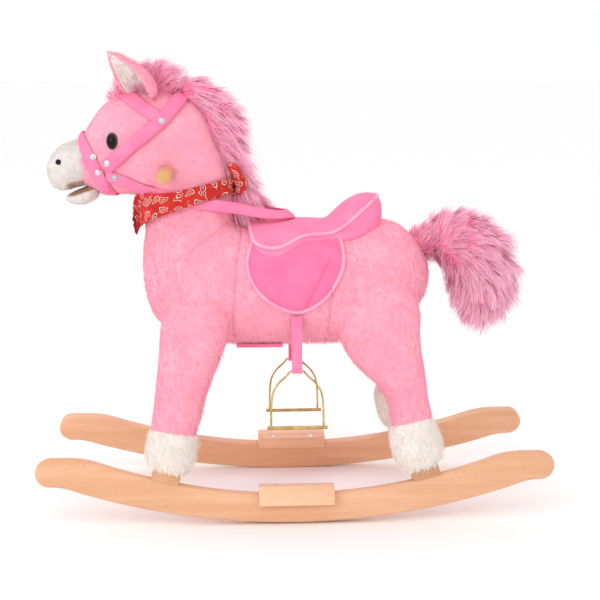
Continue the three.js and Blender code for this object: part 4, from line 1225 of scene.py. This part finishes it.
def bridle():
    nose = arch_rows((-0.2840, 0.508), (-0.3270, 0.600), 0, math.tau, 96, closed=True, narrow=0.55)
    nose = strap("nose_strap", nose, STRAP_UNDER, STRAP_THICK, closed=True)
    pieces = [tack(nose, "horse", ["noseband"])]
    brow = arch_rows((-0.175, 0.561), (-0.262, 0.620), -1.57, 1.57)
    pieces.append(tack(strap("brow_strap", brow, STRAP_UNDER, STRAP_THICK), "horse", ["browband"]))
    crown = arch_rows((-0.183, 0.567), (-0.140, 0.618), -1.66, 1.66)
    pieces.append(tack(strap("crown_strap", crown, STRAP_OVER, STRAP_THICK), "horse", ["crownpiece"]))
    for side, sign in SIDES.items():
        line = [Vector(CHEEK[0]).lerp(Vector(CHEEK[1]), t) for t in np.linspace(-0.03, 1.04, 6)]
        cheek = strap(f"cheek_{side}", side_rows(line, 0.0175, sign), STRAP_OVER, STRAP_THICK)
        pieces.append(tack(cheek, "horse", [f"cheek_strap_{side}"]))
        tab = side_rows([(-0.276, 0.500), (-0.271, 0.482), (-0.267, 0.466)], 0.015, sign, count=16)
        tab = strap(f"chin_tab_{side}", tab, STRAP_OVER, 0.0019)
        tab.data.materials.append(STRAP_FELT)
        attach(tab, "horse")
        pieces.append(tab)
    return pieces


BRIDLE = bridle()


# The held stretch on each side, as (x, z), and the free loop's right half.
REIN_LINE = [
    (-0.268, 0.492), (-0.250, 0.486), (-0.235, 0.480), (-0.205, 0.467), (-0.150, 0.452), (-0.112, 0.4465),
]
REIN_LOOP = [
    (-0.098, 0.0505, 0.4448), (-0.080, 0.0445, 0.4412), (-0.058, 0.0352, 0.4350),
    (-0.036, 0.0262, 0.4300), (-0.017, 0.0172, 0.4277), (-0.006, 0.0085, 0.4273),
]


def reins():
    """One webbing from cheek to cheek: held along the neck, free over the withers."""
    half = 0.0083
    neck = {side: side_rows(REIN_LINE, 0.0165, sign) for side, sign in SIDES.items()}
    path = [(x, -y, z) for x, y, z in REIN_LOOP] + [(-0.003, 0.0, 0.4273)] + REIN_LOOP[::-1]
    first, last = (neck[side][-1][STRAP_POINTS // 2][0] for side in SIDES)
    line = smooth_curve([first, *path, last], 110)[2:-2]
    ahead = np.gradient(line, axis=0)
    rows = []
    for place, forward in zip(line, ahead):
        out = Vector((forward[1], -forward[0], 0)).normalized()
        roll = 0.85 * min(max((place[0] + 0.09) / 0.07, 0), 1)
        rise = Vector((0, 0, math.cos(roll))) - out * math.sin(roll)
        face = out * math.cos(roll) + Vector((0, 0, math.sin(roll)))
        rows.append([(Vector(place) + rise * s, face) for s in np.linspace(-half, half, STRAP_POINTS)])
    rows = settled(neck["left"] + rows + neck["right"][::-1], 3)
    piece = strap("reins", rows, STRAP_UNDER, STRAP_THICK)
    piece.data.materials.append(STRAP_FELT)
    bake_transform(piece)
    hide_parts("rein_left", "rein_right", "rein_loop")
    return piece


REINS = reins()


def lathed(name, place, axis, up, profile, stretch=(1.0, 1.0), sides=20):
    """A round button: profile of (radius, height) from its middle out, turned about the axis."""
    axis, up = Vector(axis).normalized(), Vector(up)
    up = (up - axis * up.dot(axis)).normalized()
    side = axis.cross(up)
    vertices = [Vector(place) + axis * profile[0][1]]
    for radius, height in profile[1:]:
        for k in range(sides):
            turn = math.tau * k / sides
            flat = side * math.cos(turn) * stretch[0] + up * math.sin(turn) * stretch[1]
            vertices.append(Vector(place) + flat * radius + axis * height)
    faces = [(0, 1 + k, 1 + (k + 1) % sides) for k in range(sides)]
    for ring in range(len(profile) - 2):
        a, b = 1 + ring * sides, 1 + (ring + 1) * sides
        faces += [(a + k, b + k, b + (k + 1) % sides, a + (k + 1) % sides) for k in range(sides)]
    last = 1 + (len(profile) - 2) * sides
    faces.append(tuple(range(last, last + sides)))
    return outward(new_piece(name, vertices, faces))


CAPS = {
    "1": (-0.281, 0.517), "2": (-0.252, 0.487), "3": (-0.183, 0.567),
    "4": (-0.262, 0.508), "5": (-0.276, 0.495),
}
CAP_PROFILE = [
    (0, 0.0020), (0.0012, 0.0019), (0.0026, 0.0014), (0.0031, 0.0007),
    (0.0034, 0.0009), (0.0043, 0.0008), (0.0047, 0.0003), (0.0047, -0.0006),
]


def rivets():
    tack_skin = skin_of(*BRIDLE, REINS)
    for side, sign in SIDES.items():
        for number, (x, z) in CAPS.items():
            point, normal, _, _ = tack_skin.ray_cast(Vector((x, sign * 0.3, z)), Vector((0, -sign, 0)))
            cap = lathed(f"cap_{side}_{number}", point, normal, (0, 0, 1), CAP_PROFILE)
            nodes = [f"rivet_{side}_{number}"] if number in "123" else []
            tack(cap, "horse", nodes, NICKEL)


rivets()


def eyes_and_nostrils():
    wide, high, tall = 0.0068, 0.0036, 1.42
    for side, sign in SIDES.items():
        out = Vector((-0.343, sign * 0.94, 0.05))
        point, _, _, _ = HORSE_SKIN.ray_cast(Vector((-0.254, sign * 0.3, 0.539)), Vector((0, -sign, 0)))
        dome = [(wide * math.sin(t), high * math.cos(t)) for t in np.linspace(0.12, 1.57, 12)]
        dome = [(0, high)] + dome + [(0.0065, -0.003)]
        eye = lathed(f"eye_dome_{side}", point + out * 0.0010, out, (0, 0, 1), dome, (1.0, tall), 32)
        tack(eye, "horse", [f"eye_{side}"], EYE_BLACK)
        rim = [(0, 0.0008), (0.0060, 0.0014), (0.0072, 0.0018), (0.0082, 0.0013), (0.0085, 0.0002),
               (0.0083, -0.003)]
        rim = lathed(f"eye_rim_{side}", point, out, (0, 0, 1), rim, (1.0, tall), 32)
        tack(rim, "horse", [], EYE_RIM)
        point, normal, _, _ = HORSE_SKIN.ray_cast(Vector((-0.333, sign * 0.3, 0.509)), Vector((0, -sign, 0)))
        spot = [(0, 0.0022), (0.0022, 0.0021), (0.0038, 0.0014), (0.0044, 0.0004), (0.0042, -0.002)]
        spot = lathed(f"nostril_{side}", point, normal, (0.3, 0, 1), spot, (1.05, 0.9))
        tack(spot, "horse", [], BLACK_THREAD)


eyes_and_nostrils()


# ---- Ears: a cupped leaf, with a white lining inside ----
# Up the ear: share of its height, half width, depth of the cup.
EAR = [
    (-0.10, 0.023, 0.022), (0.08, 0.028, 0.028), (0.28, 0.0305, 0.028), (0.48, 0.029, 0.023),
    (0.66, 0.0235, 0.016), (0.82, 0.015, 0.009), (0.93, 0.008, 0.005), (1.0, 0.002, 0.0015),
]


def ear_leaf(name, sign, inset, thick, span):
    """A curved leaf: inset from the outer face, and so wide round the cup."""
    base, tip = Vector((-0.210, sign * 0.032, 0.596)), Vector((-0.256, sign * 0.049, 0.662))
    rise = (tip - base).normalized()
    opening = Vector((-0.80, sign * 0.60, 0.1))
    opening = (opening - rise * opening.dot(rise)).normalized()
    wide = rise.cross(opening)
    rings, turns = [], np.linspace(-span, span, 15)
    for t, half, depth in EAR:
        slim = min(1.0, half / 0.014)
        centre = base.lerp(tip, t) + wide * 0.004 * math.sin(t * 3)
        rows = []
        for layer in (inset * slim, (inset + thick) * slim):
            rows.append([centre + wide * max(half - layer, 0.0006) * math.sin(a)
                         - opening * max(depth - layer, 0.0004) * math.cos(a) for a in turns])
        rings.append(rows[0] + rows[1][::-1])
    size = len(rings[0])
    faces = grid_faces(len(rings), size, closed_columns=True)
    faces += [tuple(reversed(range(size))), tuple(range((len(rings) - 1) * size, len(rings) * size))]
    return subdivided(outward(new_piece(name, [p for ring in rings for p in ring], faces)), 2), rise


def ears():
    for side, sign in SIDES.items():
        ear, rise = ear_leaf(f"ear_back_{side}", sign, 0.0, 0.004, 1.75)
        store(ear, "seam", np.zeros(len(ear.data.vertices)))
        flowing(ear, rise)
        tack(ear, "horse", [f"ear_{side}"], PINK_PLUSH)
        nap(ear, f"ear_nap_{side}", "horse", "pink_plush", PINK_NAP, Density=230000.0, Length=0.0045,
            Droop=0.0, Gather=0.3, Stray=0.5, Seed=21)
        lining, rise = ear_leaf(f"ear_lining_{side}", sign, 0.0042, 0.0012, 1.62)
        store(lining, "seam", np.zeros(len(lining.data.vertices)))
        flowing(lining, rise)
        tack(lining, "horse", [], LINING_PLUSH)
        nap(lining, f"ear_lining_nap_{side}", "horse", "white_plush", WHITE_NAP, Density=260000.0,
            Length=0.006, Droop=0.0, Lock=0.006, Gather=0.3, Seed=23)


ears()


# ---- Neck scarf ----
# Round the neck from the nape (0) to the throat (pi): top and bottom edges.
SCARF_TURN = [0.0, 0.5, 1.0, 1.57, 2.1, 2.6, 3.0]
SCARF_LIFT = 0.0056
SCARF_TOP = [0.486, 0.484, 0.479, 0.471, 0.465, 0.463, 0.465]
SCARF_BOTTOM = [0.461, 0.460, 0.455, 0.445, 0.434, 0.421, 0.410]


def neck_form():
    """The plain neck without the face, for cloth that passes under the chin."""
    neck = loft("neck_form", going_up(NECK), 48)
    skin = skin_of(neck, BODY)
    bpy.data.objects.remove(neck)
    return skin


def scarf_rows():
    """Rows from one ragged end, round the nape, to the other; each row runs up the cloth."""
    across, rows = 13, []
    skin = neck_form()
    turns = np.linspace(-SCARF_TURN[-1], SCARF_TURN[-1], 120)
    for turn in turns:
        low, high = (np.interp(abs(turn), SCARF_TURN, edge) for edge in (SCARF_BOTTOM, SCARF_TOP))
        aim = Vector((math.cos(turn), math.sin(turn), 0))
        heights = np.linspace(low, high, across)
        origins = [Vector((-0.150, 0, z)) + aim * 0.3 for z in heights]
        row = laid_row(skin, origins, -aim, rows[-1] if rows else None)
        rows.append([(p, (n + aim * 2).normalized()) for p, n in row])
    rows = settled(rows, 10)
    folded = []
    for turn, row in zip(turns, rows):
        new = []
        for k, (p, n) in enumerate(row):
            v = k / (across - 1)
            fold = 0.0016 * math.sin(math.tau * (2.1 * v + 0.22 * math.sin(2.3 * turn)))
            fold += 0.0009 * math.sin(9 * turn + 5 * v) + 0.0007 * math.sin(17 * turn - 7 * v)
            new.append((p + n * (SCARF_LIFT + fold), n))
        folded.append(new)
    return folded


def scarf_end(row, low, high, y, reach):
    """The cloth beyond the throat, out to its pinked edge."""
    extra, across = [], len(row)
    for e in np.linspace(0.2, 1.0, 6):
        new = []
        for k, (p, n) in enumerate(row):
            v = k / (across - 1)
            notch = 0.004 * abs(((v * 5) % 1.0) * 2 - 1) * e
            bow = 0.002 * math.sin(5 * v + 3 * e)
            end = Vector((-reach - 0.004 * math.sin(3 * v) + notch, y + bow, low + (high - low) * v))
            new.append((p.lerp(end, e), n))
        extra.append(new)
    return extra


def scarf():
    rows = scarf_rows()
    left = scarf_end(rows[0], 0.422, 0.460, -0.017, 0.2275)
    right = scarf_end(rows[-1], 0.399, 0.446, -0.004, 0.230)
    rows = left[::-1] + rows + right
    piece = strap("neck_scarf", rows, 0.0, 0.0016)
    subdivided(piece)
    tack(piece, "horse", ["bandana"], PRINTED_COTTON)
    path = smooth_curve([(-0.088, -0.030, 0.506), (-0.083, -0.028, 0.496), (-0.076, -0.026, 0.482),
                         (-0.073, -0.025, 0.470), (-0.077, -0.027, 0.459)], 40)
    vertices, flat, sides = [], [], 32
    for i, (x, y, z) in enumerate(path):
        t = i / (len(path) - 1)
        full = math.sin(math.pi * min(max(t, 0.04), 0.97)) ** 0.35
        radius = 0.0092 * full * (1 + 0.08 * math.sin(14 * t))
        for k in range(sides):
            turn = math.tau * k / sides
            ridged = radius * (1 + 0.13 * math.cos(3 * turn + 11 * t) + 0.05 * math.cos(8 * turn - 17 * t))
            vertices.append((x + ridged * math.cos(turn), y + ridged * math.sin(turn), z))
            flat.append((0.3 + turn * 0.009, t * 0.055, 0.01))
    faces = grid_faces(len(path), sides, closed_columns=True)
    faces += [tuple(reversed(range(sides))), tuple(range(len(vertices) - sides, len(vertices)))]
    knot = new_piece("scarf_knot", vertices, faces)
    store(knot, "flat", flat, "FLOAT_VECTOR")
    tack(knot, "horse", [], PRINTED_COTTON)


scarf()


# ---- Saddle ----
# The piping round the seat, left half, front to back.
SEAT_RIM = [
    (-0.066, -0.000, 0.425), (-0.066, -0.030, 0.422), (-0.064, -0.055, 0.411), (-0.058, -0.070, 0.398),
    (-0.043, -0.0755, 0.391), (-0.027, -0.076, 0.389), (-0.010, -0.072, 0.393), (0.004, -0.066, 0.401),
    (0.018, -0.060, 0.406), (0.040, -0.056, 0.408), (0.056, -0.056, 0.410), (0.070, -0.057, 0.415),
    (0.088, -0.057, 0.430), (0.105, -0.053, 0.446), (0.118, -0.043, 0.457), (0.127, -0.024, 0.460),
    (0.130, 0.000, 0.460),
]
FLAP = [
    (-0.058, 0.397), (-0.061, 0.388), (-0.066, 0.374), (-0.066, 0.358), (-0.058, 0.338), (-0.041, 0.318),
    (-0.016, 0.303), (0.003, 0.298), (0.018, 0.301), (0.041, 0.315), (0.057, 0.335), (0.068, 0.356),
    (0.071, 0.374), (0.0675, 0.397),
]
PIPING = 0.0028
CREASE = ((0.053, 0.372), (0.014, 0.303))


def distance_to_line(x, z, start, end):
    (x0, z0), (x1, z1) = start, end
    t = np.clip(((x - x0) * (x1 - x0) + (z - z0) * (z1 - z0)) / ((x1 - x0) ** 2 + (z1 - z0) ** 2), 0, 1)
    return np.hypot(x - x0 - t * (x1 - x0), z - z0 - t * (z1 - z0))


# The raised back of the seat: x, bottom, top, half width.
CANTLE = [
    (0.040, 0.384, 0.408, 0.034), (0.052, 0.384, 0.419, 0.045), (0.064, 0.384, 0.431, 0.050),
    (0.078, 0.384, 0.444, 0.053), (0.094, 0.384, 0.454, 0.055), (0.110, 0.384, 0.458, 0.052),
    (0.121, 0.386, 0.4565, 0.044), (0.128, 0.391, 0.450, 0.031), (0.131, 0.402, 0.440, 0.014),
]
SEAT_PLAN = [
    (-0.064, 0.048), (-0.060, 0.063), (-0.052, 0.071), (-0.043, 0.0742), (-0.027, 0.0750), (-0.010, 0.0702),
    (0.004, 0.0642), (0.018, 0.0582), (0.040, 0.0545), (0.056, 0.0545), (0.070, 0.0556), (0.088, 0.0556),
    (0.104, 0.0515), (0.116, 0.0420),
]


def seat_form():
    """The seat's pad over the horse's back, and the loft of its raised back."""
    plan = smooth_curve(SEAT_PLAN, 60)
    under, over, across = [], [], 41
    neck_level, back_level = 0.44, 0.415
    for x, half in plan:
        for k in range(across):
            u = 2 * k / (across - 1) - 1
            point, normal, _, _ = HORSE_SKIN.ray_cast(Vector((x, u * half, 0.6)), Vector((0, 0, -1)))
            if point.z >= neck_level:
                point, normal = Vector((x, u * half, back_level)), Vector((0, 0, 1))
            under.append(point - normal * 0.004)
            over.append(point + normal * (0.0078 + 0.0028 * ridge(x - 0.018, 0.034) - 0.002 * abs(u) ** 8))
    grid = grid_faces(len(plan), across)
    size, last = len(under), (len(plan) - 1) * across
    faces = [tuple(i + size for i in f) for f in grid] + [tuple(reversed(f)) for f in grid]
    for k in range(across - 1):
        faces += [(k, k + size, k + 1 + size, k + 1),
                  (last + k, last + k + 1, last + k + 1 + size, last + k + size)]
    for i in range(len(plan) - 1):
        for k in (0, across - 1):
            a, b = i * across + k, (i + 1) * across + k
            faces.append((a, b, b + size, a + size))
    pad = outward(new_piece("pad", under + over, faces))
    return joined("seat_pad", [pad, loft("cantle", along_x(CANTLE), 40)])


def saddle_seat():
    seat = fused(seat_form(), 0.0035, 5)
    plumped(seat, 4.0, 0.0025)
    subdivided(seat)
    points = points_of(seat)
    skin = surface(seat)
    rim = SEAT_RIM + [(x, -y, z) for x, y, z in SEAT_RIM[-2:0:-1]]
    rim = smooth_curve(rim + [SEAT_RIM[0]], 220)[:-1]
    snapped = []
    for point in rim:
        place, normal, _, _ = skin.find_nearest(Vector(point))
        snapped.append(place + normal * 0.0006)
    snapped = np.array(snapped)
    for _ in range(6):
        snapped = (np.roll(snapped, 1, 0) + 2 * snapped + np.roll(snapped, -1, 0)) / 4
    gap = np.full(len(points), 1.0)
    for chunk in np.array_split(np.arange(len(points)), 60):
        gap[chunk] = np.linalg.norm(points[chunk][:, None] - snapped[None], axis=2).min(1)
    # Painted shade in a band along the piping.
    store(seat, "seam", ridge(gap, 0.004) * 0.5)
    tack(seat, "horse", ["saddle_seat"], SEAT_CLOTH)
    tack(tube("seat_piping", snapped, PIPING, closed=True), "horse", [], PIPING_CLOTH)


def saddle_flap(side, sign):
    """A padded flap with a stitched crease, and piping round its lower edge."""
    piped = 70
    outline = smooth_curve(FLAP, piped)
    top = np.linspace(outline[-1], outline[0], 24)[1:-1]
    outline = np.vstack([outline, top])
    middle = np.array([0.003, 0.356])
    rings, count = 22, len(outline)
    under, over, flat, seams = [], [], [], []
    for ring in range(rings):
        s = 1 - (1 - ring / (rings - 1)) ** 1.3
        for x, z in middle + (outline - middle) * s:
            point, normal, _, _ = HORSE_SKIN.ray_cast(Vector((x, sign * 0.3, z)), Vector((0, -sign, 0)))
            crease = ridge(distance_to_line(x, z, *CREASE), 0.0022)
            puff = 0.0064 * (1 - 0.72 * s**7) - 0.0016 * crease
            puff += 0.0007 * math.sin(46 * x + 30 * z) * math.sin(62 * z - 20 * x) * (1 - s**4)
            under.append(point + normal * 0.0008)
            over.append(point + normal * (0.0008 + puff))
            flat.append((0.0, 0.0, 0.02))
            # Painted shade in the crease, over its stitching, and round the rolled edge.
            seams.append(max(0.9 * crease, 0.5 * ridge((1 - s) * 0.05, 0.003)))
    grid = grid_faces(rings, count, closed_columns=True)
    size, last = rings * count, (rings - 1) * count
    faces = [tuple(i + size for i in f) for f in grid] + [tuple(reversed(f)) for f in grid]
    faces += [(last + j, last + (j + 1) % count, last + (j + 1) % count + size, last + j + size)
              for j in range(count)]
    flap = new_piece(f"flap_pad_{side}", under + over, faces)
    store(flap, "flat", flat + flat, "FLOAT_VECTOR")
    store(flap, "seam", seams + seams)
    outward(flap)
    tack(flap, "horse", [f"saddle_flap_{side}"], FLAP_CLOTH)
    cord = []
    for x, z in outline[:piped]:
        point, normal, _, _ = HORSE_SKIN.ray_cast(Vector((x, sign * 0.3, z)), Vector((0, -sign, 0)))
        cord.append(point + normal * 0.0027)
    tack(tube(f"flap_piping_{side}", cord, PIPING), "horse", [], PIPING_CLOTH)


saddle_seat()
for side_name, side_sign in SIDES.items():
    saddle_flap(side_name, side_sign)


# ---- Stirrups and the small parts ----
def hanging_and_small_parts():
    for side in SIDES:
        eased(f"stirrup_{side}", f"stirrup_wire_{side}", 0, BRASS_WIRE, f"stirrup_{side}")
        eased(f"stirrup_strap_{side}", f"stirrup_webbing_{side}", 0.0007, STRAP_FELT,
              f"strap_{side}")
        for number in (1, 2):
            screw = f"screw_{side}_{number}"
            eased(f"footrest_{screw}", screw, 0.0002, STEEL)
    eased("belly_flap", "belly_flap_cloth", 0.0010, STRAP_FELT)
    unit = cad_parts["sound_box"]
    unit.data.materials.clear()
    unit.data.materials.append(UNIT_PLASTIC)


hanging_and_small_parts()
